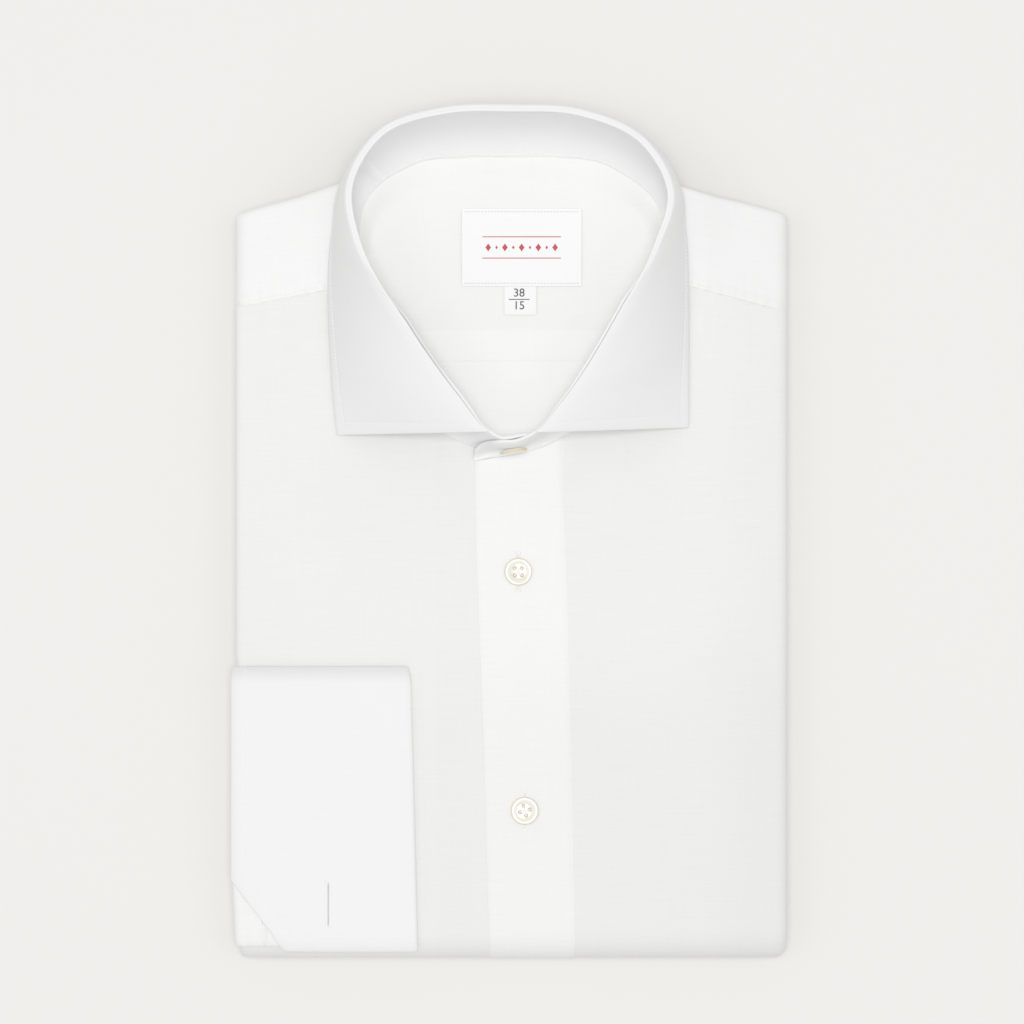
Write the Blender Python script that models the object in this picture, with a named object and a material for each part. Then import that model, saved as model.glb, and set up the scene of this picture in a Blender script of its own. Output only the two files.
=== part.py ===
"""A long sleeve dress shirt with a cutaway collar and a French cuff, pressed and folded for the shelf.

It lies face up with the collar towards +Y and the floor at z = 0. The wearer's left is +X. Sizes are in
millimetres and become metres where each mesh is made.

The folded body is one flat package. Its cloth goes down the front, round the bottom fold and back up the
underside, and at each side it turns under over a narrow fold. Every sheet on it is worked out in cloth
coordinates:
    across  distance over the cloth from the centre line, which goes on round the side folds
    along   distance over the cloth above the axis of the bottom fold, negative round that fold and underneath
    lift    distance out from the body's outer face
The collar is a stand and a leaf, both worked out from the same table of stations round the neck.
"""

import math

import bmesh
import bpy
import numpy as np

MM = 0.001

# ---- the folded body
HALF_WIDTH = 108.9  # centre line to side fold
THICK = 24.0  # whole package, floor to front
FOLD = THICK / 2  # radius of the bottom fold
SIDE = 5.5  # radius of a side fold
TURN = 20.0  # cloth turned under beyond a side fold
AXIS_Y = -155.4  # axis of the bottom fold
HEM_Y = 106.0  # end of the tail on the underside
WALL = 1.0  # shirt cloth with its finish
GAP = 0.3  # between neighbouring pieces
SWELL = 0.2  # soft unevenness of the pressed front

# ---- interlined or doubled cloth
LINED = 1.4  # cuff
COLLAR_WALL = 1.2  # stand, leaf and sleeve

# Outline of the shoulders seen from above: x, y.
SHOULDERS = np.array([
    (-108.9, 125.6), (-102.0, 129.0), (-83.5, 134.1), (-66.0, 139.5), (-50.0, 147.6), (-28.0, 152.6),
    (0.0, 153.6), (28.0, 152.6), (50.0, 147.2), (66.0, 138.2), (82.0, 133.8), (98.0, 129.6), (108.9, 122.6),
])

# Seam between yoke and front: x, y.
YOKE_SEAM = np.array([
    (-110.0, 90.0), (-74.0, 96.9), (-60.0, 99.6), (60.0, 100.4), (70.3, 98.7), (110.0, 88.2),
])

# Neckline of the fronts: x, y.
FRONT_NECK = np.array([
    (-60.4, 99.0), (-58.8, 98.0), (-56.0, 89.0), (-50.5, 71.0), (-41.5, 54.0), (-29.0, 41.8), (-17.0, 35.0),
    (-8.0, 32.2), (2.0, 31.0), (11.0, 32.8), (19.0, 36.0), (28.0, 41.5), (41.5, 54.0), (50.5, 71.0),
    (56.0, 89.0), (58.8, 98.0), (60.4, 99.0),
])

# Neckline of the yoke behind the neck: x, y.
BACK_NECK = np.array([
    (-60.6, 118.0), (-57.5, 132.0), (-48.5, 142.4), (-33.0, 148.0), (-15.0, 149.8), (15.0, 149.8),
    (33.0, 148.0), (48.5, 141.0), (57.5, 131.0), (60.6, 118.0),
])

# Edges of the placket on its way down the front: y, left edge x, right edge x.
PLACKET = np.array([
    (36.0, -13.2, 19.4), (6.0, -14.0, 20.1), (-10.0, -13.6, 21.0), (-41.0, -12.4, 22.1),
    (-88.0, -10.8, 23.4), (-128.0, -9.6, 24.2), (-166.0, -8.5, 25.0),
])
PLACKET_LIFT = 0.4
RECESS = WALL + GAP  # the front below it lies that much lower

# Collar stations, from the wearer's right end round the back of the neck to the wearer's left end, which laps
# over it: fold x, y, z, then seam x, y, z.
COLLAR = np.array([
    (6.0, 39.6, 50.0, 6.0, 35.2, 24.4),
    (-5.0, 37.4, 51.0, -8.0, 32.6, 24.4),
    (-11.4, 40.8, 51.6, -17.0, 35.0, 24.4),
    (-23.4, 54.0, 53.0, -29.5, 42.0, 24.4),
    (-45.0, 85.7, 56.5, -51.0, 71.0, 24.5),
    (-60.2, 114.5, 59.0, -60.6, 108.0, 24.5),
    (-63.0, 134.0, 58.5, -58.0, 131.0, 24.2),
    (-49.8, 156.4, 56.0, -38.5, 146.8, 21.2),
    (-26.0, 164.6, 54.5, -18.5, 149.6, 20.9),
    (0.0, 165.6, 54.0, 0.0, 149.8, 20.9),
    (26.0, 164.0, 54.5, 19.0, 149.6, 20.9),
    (51.2, 152.4, 56.0, 39.5, 145.6, 21.2),
    (61.8, 132.0, 58.5, 57.6, 130.6, 24.2),
    (56.4, 111.6, 59.0, 60.4, 108.0, 24.5),
    (43.0, 85.2, 56.5, 51.0, 71.5, 24.5),
    (22.5, 50.8, 52.5, 29.0, 42.0, 24.4),
    (9.0, 38.0, 51.2, 11.0, 32.9, 24.7),
    (-6.4, 34.8, 50.6, -4.5, 30.1, 24.8),
    (-13.4, 32.0, 37.0, -13.0, 29.6, 24.8),
])

# Outer edge of the collar leaf: station on the fold, edge x, y, z. First and last row are the two points.
LEAF = np.array([
    (2.9, -68.3, 40.0, 25.3),
    (4.0, -70.4, 63.0, 25.5),
    (5.0, -71.8, 97.0, 25.7),
    (6.0, -70.2, 119.5, 25.7),
    (6.9, -66.8, 138.5, 24.6),
    (7.5, -60.5, 151.0, 17.5),
    (8.1, -49.0, 159.5, 13.5),
    (9.0, -27.0, 164.6, 12.2),
    (10.0, 0.0, 165.6, 12.0),
    (11.0, 27.0, 164.0, 12.2),
    (11.9, 49.5, 157.4, 13.5),
    (12.5, 60.0, 149.5, 17.5),
    (13.1, 65.8, 137.5, 24.6),
    (14.0, 68.2, 119.5, 25.7),
    (15.0, 69.4, 97.0, 25.7),
    (16.0, 69.4, 63.0, 25.5),
    (16.75, 68.4, 41.6, 25.3),
])
BELLY = 2.6  # how far the leaf bows out between its fold and its edge
START = math.radians(12.0)  # how far inside the top of the fold the leaf is sewn on

# ---- the turned back cuff and the sleeve it ends
CUFF_TOP_Y = -51.8
CUFF_END_ALONG = -6.6  # just round the bottom fold
CUFF_OUT = -108.0  # its free edge, across
CUFF_FOLD_TOP = -39.6  # its turned fold, x at the top
CUFF_FOLD_END = -36.9  # and at the end
CUFF_CORNER = (20.5, 26.5)  # corner cut off its free end: across, along
SLEEVE_START = -104.9
SLEEVE_TUCK = 21.0  # sleeve tucked between the body's layers

# Rounded end of the slab inside: share of the way out, share of the full height.
SLAB_END = ((0.0, 1.0), (0.35, 0.94), (0.65, 0.76), (0.87, 0.49), (0.97, 0.24))

# ---- inside the neck
INSIDE_Z = 19.3  # underside of the yoke lining and of the back
YOKE_INSIDE_Y = 69.6  # seam of the yoke lining on the back
YOKE_INSIDE_HALF = 49.4  # half the length of that seam

# ---- labels: centre x, centre y, width, height
NECK_LABEL = (4.0, 113.7, 47.0, 30.4)
SIZE_LABEL = (3.5, 92.7, 12.4, 11.0)
LABEL_WALL = 0.6

# ---- buttons: across, y of the two on the placket, and the half section of one: radius, height
FRONT_BUTTONS = ((2.6, -14.3), (5.3, -108.4))
BUTTON_SECTION = (
    (0.0, 0.0), (4.4, 0.0), (5.2, 0.5), (5.5, 1.2), (5.3, 1.9),
    (4.8, 2.2), (4.2, 2.0), (3.5, 1.6), (0.0, 1.5),
)
BUTTON_HOLE = 0.75  # radius of a hole
BUTTON_SPREAD = 1.35  # hole to centre line


def clear_scene():
    for thing in list(bpy.data.objects):
        bpy.data.objects.remove(thing, do_unlink=True)


def material(name, colour, roughness, sheen=0.0):
    """A plain surface finish."""
    made = bpy.data.materials.new(name)
    made.use_nodes = True
    finish = made.node_tree.nodes["Principled BSDF"]
    finish.inputs["Base Color"].default_value = (*colour, 1.0)
    finish.inputs["Roughness"].default_value = roughness
    finish.inputs["Sheen Weight"].default_value = sheen
    return made


def mesh_object(name, points, faces, colour, roughness=0.85, sheen=0.2):
    """One closed body from points in millimetres. Points that coincide become one."""
    work = bmesh.new()
    corners = [work.verts.new(point) for point in np.asarray(points) * MM]
    for face in faces:
        try:
            work.faces.new([corners[i] for i in face])
        except ValueError:
            continue
    bmesh.ops.remove_doubles(work, verts=work.verts, dist=0.000001)
    bmesh.ops.dissolve_degenerate(work, edges=work.edges, dist=0.0000005)
    bmesh.ops.recalc_face_normals(work, faces=work.faces)
    mesh = bpy.data.meshes.new(name)
    work.to_mesh(mesh)
    work.free()
    made = bpy.data.objects.new(name, mesh)
    bpy.context.scene.collection.objects.link(made)
    made.data.materials.append(material(name + "_finish", colour, roughness, sheen))
    return made


def grid_faces(rows, columns, start=0):
    """Faces of a grid of points numbered row by row."""
    faces = []
    for r in range(rows - 1):
        for c in range(columns - 1):
            here = start + r * columns + c
            faces.append((here, here + 1, here + columns + 1, here + columns))
    return faces


def ring_faces(start, count):
    """Faces between a closed ring of points and the next ring."""
    ends = [(start + c, start + (c + 1) % count) for c in range(count)]
    return [(a, b, b + count, a + count) for a, b in ends]


def sheet(name, outer, inner, colour, sides=True):
    """A cloth panel: two grids of points with the same rows and columns, and a rim all round. Without sides it
    has a rim at its first and last row only, as where its upper and lower halves meet on a fold."""
    rows, columns = outer.shape[:2]
    points = np.concatenate([outer.reshape(-1, 3), inner.reshape(-1, 3)])
    half = rows * columns
    faces = grid_faces(rows, columns) + grid_faces(rows, columns, half)
    rim = [((r, c), (r, c + 1)) for r in (0, rows - 1) for c in range(columns - 1)]
    if sides:
        rim += [((r, c), (r + 1, c)) for c in (0, columns - 1) for r in range(rows - 1)]
    for first, second in rim:
        a, b = (r * columns + c for r, c in (first, second))
        faces.append((a, b, half + b, half + a))
    return mesh_object(name, points, faces, colour)


def smooth_table(table, at):
    """A table's other columns at positions along its first column, through every row, by cubic pieces."""
    knots, values = table[:, 0], table[:, 1:]
    slopes = np.gradient(values, knots, axis=0)
    at = np.clip(at, knots[0], knots[-1])
    i = np.clip(np.searchsorted(knots, at, side="right") - 1, 0, len(knots) - 2)
    width = (knots[i + 1] - knots[i])[..., None]
    f = (at - knots[i])[..., None] / width
    ends = values[i] * (2 * f**3 - 3 * f**2 + 1) + values[i + 1] * (3 * f**2 - 2 * f**3)
    return ends + slopes[i] * width * (f**3 - 2 * f**2 + f) + slopes[i + 1] * width * (f**3 - f**2)


def line_table(table, at, column=1):
    """One column of a table at positions along its first column, by straight pieces."""
    return np.interp(at, table[:, 0], table[:, column])


def ease(value, start, end):
    """0 before start, 1 after end and a soft step between."""
    t = np.clip((value - start) / (end - start), 0.0, 1.0)
    return t * t * (3 - 2 * t)


def swell(x, y):
    """Soft unevenness of the pressed front."""
    return SWELL * np.sin(x / 27.0 + 0.8) * np.sin(y / 41.0 + 0.4) * ease(y, AXIS_Y, AXIS_Y + 30.0)


def body(across, along, lift):
    """Points on the folded body from cloth coordinates, with x, y, z on the last axis."""
    across, along, lift = np.broadcast_arrays(*(np.asarray(v, float) for v in (across, along, lift)))
    flat = HALF_WIDTH - SIDE
    side, reach = np.sign(across), np.abs(across)
    turn = np.clip((reach - flat) / SIDE, 0.0, math.pi)
    rest = np.maximum(reach - flat - math.pi * SIDE, 0.0)
    x = side * (np.minimum(reach, flat) + (SIDE + lift) * np.sin(turn) - rest)
    out = lift * np.cos(turn) - SIDE * (1 - np.cos(turn))
    round_fold = np.clip(-along / FOLD, 0.0, math.pi)
    under = np.maximum(-along - math.pi * FOLD, 0.0)
    y = AXIS_Y + np.maximum(along, 0.0) - (FOLD + out) * np.sin(round_fold) + under
    z = FOLD + (FOLD + out) * np.cos(round_fold)
    return np.stack([x, y, z], axis=-1)


def path(top, end, top_rows, fold_rows=9, under_rows=7):
    """Distances along the cloth from a height on the front, round the bottom fold, to one underneath."""
    down = np.linspace(top - AXIS_Y, 0.0, top_rows)
    fold = np.linspace(0.0, -math.pi * FOLD, fold_rows)[1:]
    if end is None:
        return down
    back = -math.pi * FOLD - np.linspace(0.0, end - AXIS_Y, under_rows)[1:]
    return np.concatenate([down, fold, back])


def on_front(along):
    """Height y of a distance along the front, held at the fold beyond it."""
    return AXIS_Y + np.maximum(along, -8.0)


def placket_edges(along):
    """Left and right edge of the placket at distances along the front."""
    y = on_front(along)
    table = PLACKET[::-1]
    return line_table(table, y, 1), line_table(table, y, 2)


def front_panel(name, side):
    """One front from its neckline and yoke seam, round the bottom fold and up the underside to the hem."""
    flat = HALF_WIDTH - SIDE
    turned = flat + np.array([0.0, 0.2, 0.4, 0.6, 0.8, 1.0]) * math.pi * SIDE
    neck = [28.0, 41.5, 50.5, 56.0, 58.8, 60.4]
    reach = np.concatenate([neck, [72.0, 88.0], turned, [flat + math.pi * SIDE + TURN]])
    if side > 0:
        across = np.concatenate([[0.0, 6.0], reach])  # its first column follows the placket
    else:
        across = np.concatenate([-reach[::-1], [-20.5, -14.9, -13.6, -8.0, 2.0, 11.0, 18.4]])
    top = np.where(
        np.abs(across) < 60.0,
        line_table(FRONT_NECK, across),
        line_table(YOKE_SEAM, side * np.minimum(np.abs(across), HALF_WIDTH)) - GAP,
    )
    rows = path(0.0, HEM_Y, 12)
    share = np.clip(rows / rows[0], 0.0, 1.0)[:, None]
    along = np.where(rows[:, None] > 0, share * (top - AXIS_Y)[None, :], rows[:, None])
    left, right = placket_edges(along)
    x = np.broadcast_to(across, along.shape).copy()
    if side > 0:
        x[:, 0] = right[:, 0] + GAP
        x[:, 1] = right[:, 1] + 3.0
        top_edge = line_table(FRONT_NECK, x[0])
        along[:, :2] = np.where(rows[:, None] > 0, share * (top_edge[:2] - AXIS_Y)[None, :], rows[:, None])
        sink = np.zeros_like(x)
    else:
        step = left + 13.2  # the columns near the placket lean with its edge
        near = ease(across, -28.0, -20.5)[None, :]
        x = x + near * step
        x[:, -1] = right[:, -1] - 1.2
        sink = RECESS * ease(x, left - 1.7, left - 0.4)
    level = swell(np.clip(x, -HALF_WIDTH, HALF_WIDTH), on_front(along)) * (along > 0) - sink
    level = level * (np.abs(x) < flat)
    colour = (0.93, 0.93, 0.92)
    return sheet(name, body(x, along, level), body(x, along, level - WALL), colour)


def placket():
    """The doubled strip down the centre front, lying over the front below it."""
    rows = path(30.0, HEM_Y, 12)
    left, right = placket_edges(rows)
    share = np.array([0.0, 0.04, 0.3, 0.55, 0.8, 0.97, 1.0])
    x = left[:, None] + (right - left)[:, None] * share[None, :]
    along = np.repeat(rows[:, None], len(share), axis=1)
    top = np.interp(x[0], [-13.2, -4.5, 3.0, 11.0, 19.5], [29.2, 29.8, 30.8, 32.9, 36.0]) - AXIS_Y
    along = np.where(along > 0, along * (top / rows[0])[None, :], along)
    rise = PLACKET_LIFT * ease(along, -math.pi * FOLD, 0.0)
    rise = rise + swell(x, on_front(along)) * (along > 0)
    thick = rise + RECESS - GAP - swell(x, on_front(along)) * (along > 0)
    edge = np.array([0.35, 0.0, 0.0, 0.0, 0.0, 0.0, 0.35])[None, :]  # both edges are pressed thin
    return sheet("placket", body(x, along, rise - edge), body(x, along, rise - thick), (0.95, 0.95, 0.94))


def yoke_top(x):
    """Height of the yoke's upper face: level with the fronts, and lower behind the neck."""
    return THICK - 3.4 * (1 - ease(np.abs(x), 40.0, 58.0))


def yoke_grid(wall):
    """The yoke's face, or its inner face when a wall is given: from its front seam to the shoulder fold, round
    it and a little way back underneath. At each side its upper and lower halves meet on the side fold."""
    turn = np.radians([90.0, 66.0, 44.0, 22.0, 0.0])
    flat = HALF_WIDTH - SIDE
    reach = np.array([15.0, 33.0, 48.5, 57.5, 60.7, 61.2, 72.0, 88.0])
    middle = np.concatenate([-reach[::-1], [0.0], reach])
    side = flat + (SIDE - wall) * np.sin(turn)
    x = np.concatenate([-side, middle, side[::-1]])
    thin = np.concatenate([np.cos(turn), np.ones(len(middle)), np.cos(turn[::-1])])
    low = THICK - 2 * SIDE
    radius = (yoke_top(x) - low) / 2
    centre = low + radius
    bend = (radius - wall) * thin
    inside = np.abs(x) < 60.9
    seam = line_table(YOKE_SEAM, np.clip(x, -HALF_WIDTH, HALF_WIDTH)) + GAP
    open_top = np.where(inside, line_table(BACK_NECK, x), seam)
    ridge = line_table(SHOULDERS, np.clip(x, -HALF_WIDTH, HALF_WIDTH)) - wall
    flat_end = ridge - bend
    open_top = np.minimum(open_top, flat_end + bend * 0.35)
    open_under = np.minimum(flat_end - 4.0, np.where(np.abs(x) > flat, open_top, ridge - 24.0))
    open_under = np.where(np.abs(x) > flat + 0.1, open_top + (ridge - 24.0 - open_top) * thin**2, open_under)
    rows = []
    for t in np.linspace(0.0, 1.0, 6):
        y = open_top + (np.maximum(flat_end, open_top) - open_top) * t
        rows.append(np.stack([x, y, centre + bend], axis=-1))
    start = np.where(open_top > flat_end, (open_top - flat_end) / np.maximum(bend, 0.01), 0.0)
    for k in range(1, 9):
        first = np.arcsin(np.clip(start, 0.0, 0.9))
        angle = first + (math.pi - first) * k / 8
        y, z = flat_end + bend * np.sin(angle), centre + bend * np.cos(angle)
        rows.append(np.stack([x, y, z], axis=-1))
    for t in np.linspace(0.0, 1.0, 6)[1:]:
        rows.append(np.stack([x, flat_end + (open_under - flat_end) * t, centre - bend], axis=-1))
    return np.array(rows)


def yoke():
    return sheet("yoke", yoke_grid(0.0), yoke_grid(WALL), (0.94, 0.94, 0.94), sides=False)


def neck_inside(name, rows, colour):
    """A panel lying inside the neck, from its upper face."""
    return sheet(name, rows, rows - np.array([0.0, 0.0, WALL]), colour)


def yoke_lining():
    """Inner yoke seen in the neck: from its straight seam on the back to the neckline, where it rises to the
    stand."""
    around = np.linspace(4.6, 15.4, 29)
    seam = collar_at(around)[:, 3:6]
    keep = seam[:, 1] > YOKE_INSIDE_Y + 5.0
    seam = seam[keep]
    inward = seam[:, :2] - np.array([0.0, 118.0])
    seam[:, :2] -= inward / np.linalg.norm(inward, axis=1)[:, None] * 1.4
    base_x = np.linspace(-YOKE_INSIDE_HALF, YOKE_INSIDE_HALF, len(seam))
    base = np.stack([base_x, np.full(len(seam), YOKE_INSIDE_Y)], axis=1)
    share = np.array([0.0, 0.25, 0.5, 0.68, 0.8, 0.9, 0.96, 1.0])[:, None, None]
    flat = base[None] + (seam[None, :, :2] - base[None]) * share
    short = np.linalg.norm(seam[None, :, :2] - flat, axis=2)
    rise = (seam[:, 2] - GAP - 0.2 - INSIDE_Z - WALL) * ease(seam[:, 1], 96.0, 112.0)
    z = INSIDE_Z + WALL + rise[None] * (1 - ease(short, 0.0, 11.0))
    return neck_inside("yoke_lining", np.dstack([flat, z]), (0.95, 0.95, 0.94))


def back_panel():
    """The back below the yoke lining, seen between the fronts."""
    y = np.linspace(YOKE_INSIDE_Y - GAP, 33.4, 8)
    table = FRONT_NECK[FRONT_NECK[:, 0] > 1.0]
    half = np.interp(y, table[:, 1], table[:, 0]) - 1.2
    x = half[:, None] * np.linspace(-1.0, 1.0, 9)[None, :]
    z = np.full_like(x, INSIDE_Z + WALL)
    rows = np.dstack([x, np.repeat(y[:, None], 9, axis=1), z])
    return neck_inside("back_panel", rows, (0.92, 0.92, 0.91))


def collar_at(station):
    """Fold and seam points at stations of the collar table, counted from 1."""
    steps = np.linalg.norm(np.diff(COLLAR[:, :3], axis=0), axis=1)
    place = np.concatenate([[0.0], np.cumsum(steps)])
    where = np.interp(station, np.arange(1, len(COLLAR) + 1), place)
    return smooth_table(np.column_stack([place, COLLAR]), where)


def outward(points):
    """Level unit vectors square to a curve seen from above, to its outer side."""
    run = np.gradient(points[:, :2], axis=0)
    run /= np.linalg.norm(run, axis=1)[:, None]
    out = np.stack([-run[:, 1], run[:, 0], np.zeros(len(run))], axis=1)
    return out


def thicken(grid, wall):
    """Two faces of a sheet from its middle face: each point goes half the wall to either side."""
    along = np.gradient(grid, axis=0)
    over = np.gradient(grid, axis=1)
    square = np.cross(along, over)
    square /= np.maximum(np.linalg.norm(square, axis=2), 1e-9)[..., None]
    return grid + square * wall / 2, grid - square * wall / 2


def stand_rows(station):
    """Middle face of the stand: rows from its fold down to its seam."""
    both = collar_at(station)
    fold, seam = both[:, :3], both[:, 3:6].copy()
    out = outward(fold)
    top = fold - out * 1.0
    top[:, 2] -= 1.2
    seam[:, 2] += 0.4
    share = np.linspace(0.0, 1.0, 6)[:, None, None]
    bow = -1.6 * (1 - ease(seam[:, 1], 60.0, 100.0))
    rows = top[None] + (seam - top)[None] * share
    return rows + out[None] * (bow[None, :, None] * 4 * share * (1 - share))


def collar_stand():
    before = np.array([1.0, 1.4, 1.7, 2.0, 2.3, 2.6])
    after = np.linspace(16.75, 19.0, 11)[1:]
    station = np.concatenate([before, leaf_stations(), after])
    outer, inner = thicken(stand_rows(station), COLLAR_WALL)
    return sheet("collar_stand", outer, inner, (0.94, 0.94, 0.95))


def leaf_rows(station, edge):
    """Middle face of the leaf: over the stand's top edge and out to the leaf's own edge."""
    fold = collar_at(station)[:, :3]
    fine = np.linspace(1.0, len(COLLAR), 600)
    out = outward(collar_at(fine)[:, :3])
    out = np.stack([np.interp(station, fine, out[:, k]) for k in range(3)], axis=1)
    out /= np.linalg.norm(out, axis=1)[:, None]
    heart = fold - out * 1.0
    heart[:, 2] -= 1.2
    roll = COLLAR_WALL + GAP + 0.3
    chord = edge - heart
    reach = np.linalg.norm(chord, axis=1)
    drop = np.arctan2(-chord[:, 2], np.linalg.norm(chord[:, :2], axis=1))
    steep = np.clip((drop - 0.9) / 0.5, 0.0, 1.0)
    belly = BELLY * (1 - 0.65 * steep)[:, None]
    last = np.clip(drop - 4 * belly[:, 0] / reach, math.radians(8.0), math.pi / 2)
    level = chord * np.array([1.0, 1.0, 0.0])
    level /= np.linalg.norm(level, axis=1)[:, None]
    mix = steep[:, None]
    way = level * (1 - mix) + out * mix
    way /= np.linalg.norm(way, axis=1)[:, None]
    up = np.array([0.0, 0.0, 1.0])
    rows = []
    for t in np.linspace(0.0, 1.0, 6):
        angle = (-START + (last + START) * t)[:, None]
        rows.append(heart + roll * (way * np.sin(angle) + up * np.cos(angle)))
    start = rows[-1]
    raised = np.cross(np.cross(edge - start, up[None]), edge - start)
    size = np.linalg.norm(raised, axis=1)[:, None]
    raised = np.where(size > 1e-6, raised / np.maximum(size, 1e-6), 0.0)
    raised = raised * (1 - mix) + out * mix
    for t in (0.08, 0.2, 0.35, 0.5, 0.65, 0.8, 0.92, 1.0):
        rows.append(start + (edge - start) * t + raised * belly * 4 * t * (1 - t))
    return np.array(rows)


def leaf_stations():
    """Stations shared by the stand and the leaf, closer together at the front."""
    round_neck = np.linspace(5.0, 15.0, 37)[1:]
    return np.concatenate([np.linspace(2.9, 5.0, 9), round_neck, np.linspace(15.0, 16.75, 9)[1:]])


def collar_leaf():
    station = leaf_stations()
    edge = smooth_table(LEAF, station)
    outer, inner = thicken(leaf_rows(station, edge), COLLAR_WALL)
    return sheet("collar_leaf", outer, inner, (0.93, 0.93, 0.94))


def cuff_grid(start, end_short, top_short):
    """Rows of one layer of the cuff, each with its free end and its turned fold."""
    cut_across, cut_along = CUFF_CORNER
    top = CUFF_TOP_Y - AXIS_Y - top_short
    end = CUFF_END_ALONG + end_short
    along = np.concatenate([np.linspace(top, end + cut_along, 8), np.linspace(end + cut_along, end, 7)[1:]])
    free = start + cut_across * np.clip((end + cut_along - along) / cut_along, 0.0, 1.0)
    fold = CUFF_FOLD_TOP + (CUFF_FOLD_END - CUFF_FOLD_TOP) * (top - along) / (top - end)
    return along, free, fold


def cuff_turned():
    """Turned back layer of the cuff, rolled under at its fold."""
    along, free, fold = cuff_grid(CUFF_OUT, 0.0, 0.0)
    low = 3 * GAP + LINED
    high = low + LINED
    share = np.array([0.0, 0.018, 0.036, 0.054, 0.072, 0.12, 0.3, 0.5, 0.7, 0.88, 1.0])
    x = free[:, None] + (fold - 1.6 - free)[:, None] * share[None]
    y = np.repeat(along[:, None], x.shape[1], axis=1)
    outer, inner = body(x, y, high), body(x, y, low)
    middle = (GAP + high) / 2
    radius = high - middle
    angle = np.radians([30.0, 60.0, 90.0, 120.0, 150.0, 165.0])[None]

    def rolled(rim):
        across = fold[:, None] - 1.6 + rim * np.sin(angle)
        return body(across, along[:, None], middle + rim * np.cos(angle))

    outer = np.concatenate([outer, rolled(radius)], axis=1)
    inner = np.concatenate([inner, rolled(radius - LINED)], axis=1)
    return sheet("cuff_turned", outer, inner, (0.94, 0.94, 0.95))


def cuff_under():
    """Layer of the cuff that lies on the front, between the sleeve and the turned fold."""
    start = SLEEVE_START + GAP
    along, _, fold = cuff_grid(start, 0.8, 0.8)
    share = np.array([0.0, 0.2, 0.45, 0.7, 1.0])
    x = start + (fold - 3.4 - start)[:, None] * share[None]
    y = np.repeat(along[:, None], x.shape[1], axis=1)
    return sheet("cuff_under", body(x, y, GAP + LINED), body(x, y, GAP), (0.94, 0.94, 0.95))


def sleeve():
    """The sleeve comes round the side fold from between the body's layers and runs into the cuff."""
    flat = HALF_WIDTH - SIDE
    end = flat + math.pi * SIDE + SLEEVE_TUCK
    turned = np.linspace(-SLEEVE_START, flat + math.pi * SIDE, 9)
    across = -np.concatenate([turned, [end - 10.0, end]])
    top = CUFF_TOP_Y - AXIS_Y - 2.4
    lowest = CUFF_END_ALONG + 1.4 + 9.0 * ease(-across, flat + 2.0, flat + math.pi * SIDE * 0.6)
    y = top + (lowest - top)[None, :] * np.linspace(0.0, 1.0, 12)[:, None] ** 0.9
    x = np.broadcast_to(across, y.shape)
    low = GAP + 0.15
    return sheet("sleeve", body(x, y, low + COLLAR_WALL), body(x, y, low), (0.93, 0.93, 0.92))


def boolean(target, cutter, operation):
    """Join or cut with a helper that is not part of the object."""
    cutter.hide_render = True
    cutter.display_type = "WIRE"
    step = target.modifiers.new(operation.lower(), "BOOLEAN")
    step.operation = operation
    step.solver = "EXACT"
    step.object = cutter


def prism(name, outline, bottom, top):
    """A helper body standing on an outline."""
    count = len(outline)
    points = [(x, y, bottom) for x, y in outline] + [(x, y, top) for x, y in outline]
    faces = [tuple(range(count))[::-1], tuple(range(count, 2 * count))]
    faces += [(k, (k + 1) % count, count + (k + 1) % count, count + k) for k in range(count)]
    return mesh_object(name, points, faces, (0.5, 0.5, 0.5))


def folded_layers():
    """Everything folded inside: one slab that follows the cloth round the bottom fold, joined in the middle,
    with the edges of the folded layers between its halves."""
    inset = WALL + GAP
    flat = HALF_WIDTH - SIDE
    side_end = flat + math.pi * SIDE
    half = [0.0, 14.0, 26.0, 31.0, 50.0, 70.0, 88.0, flat]
    turned = [flat + k / 6 * math.pi * SIDE for k in range(1, 7)]
    back = [side_end + flat - x for x in half[-2::-1]]
    right = np.array(half + turned + back)
    across = np.concatenate([right, -right[-2:0:-1]])
    reach = np.abs(across)
    seen_x = np.where(reach > side_end, np.sign(across) * (flat + side_end - reach), across)
    outline = line_table(SHOULDERS, np.clip(seen_x, -HALF_WIDTH, HALF_WIDTH))
    recess = RECESS * ease(across, -20.0, -16.0) * (1 - ease(across, 27.0, 30.0))
    sink = np.where(reach < flat, inset + SWELL + 0.1 + recess, inset)

    def loop(y, tall, upper):
        shape = body(across, 1.0, -sink)
        z = THICK - SIDE + (shape[:, 2] - THICK + SIDE) * tall
        return np.stack([shape[:, 0], y, z if upper else THICK - z], axis=1)

    def half_slab(upper, trim):
        """Loops from the bottom fold up to the shoulders, where the end is rounded."""
        loops = [loop(np.full_like(across, y), 1.0, upper) for y in np.linspace(AXIS_Y, 96.0, 7)[1:]]
        last = outline - trim - (SIDE - inset)
        loops.append(loop(last - 8.0, 1.0, upper))
        for share, tall in SLAB_END:
            loops.append(loop(last + (SIDE - inset) * share, tall, upper))
        return loops

    fold = [body(across, along, -sink) for along in np.linspace(0.0, -math.pi * FOLD, 9)]
    rows = half_slab(True, 2.6)[::-1] + fold + half_slab(False, 10.0)
    count = len(across)
    points = np.concatenate(rows)
    faces = end_cap(0, count) + end_cap(len(points) - count, count)
    for r in range(len(rows) - 1):
        faces += ring_faces(r * count, count)
    made = mesh_object("folded_layers", points, faces, (0.9, 0.9, 0.88))
    middle = [(-82, -153), (82, -153), (82, 108), (-82, 108)]
    boolean(made, prism("core_middle", middle, 9.2, 14.8), "UNION")
    boolean(made, prism("layer_edge", layer_edge(), FOLD - WALL + GAP, FOLD + WALL - GAP), "UNION")
    boolean(made, prism("neck_hollow", neck_hollow(), INSIDE_Z - GAP, 40.0), "DIFFERENCE")


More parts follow.
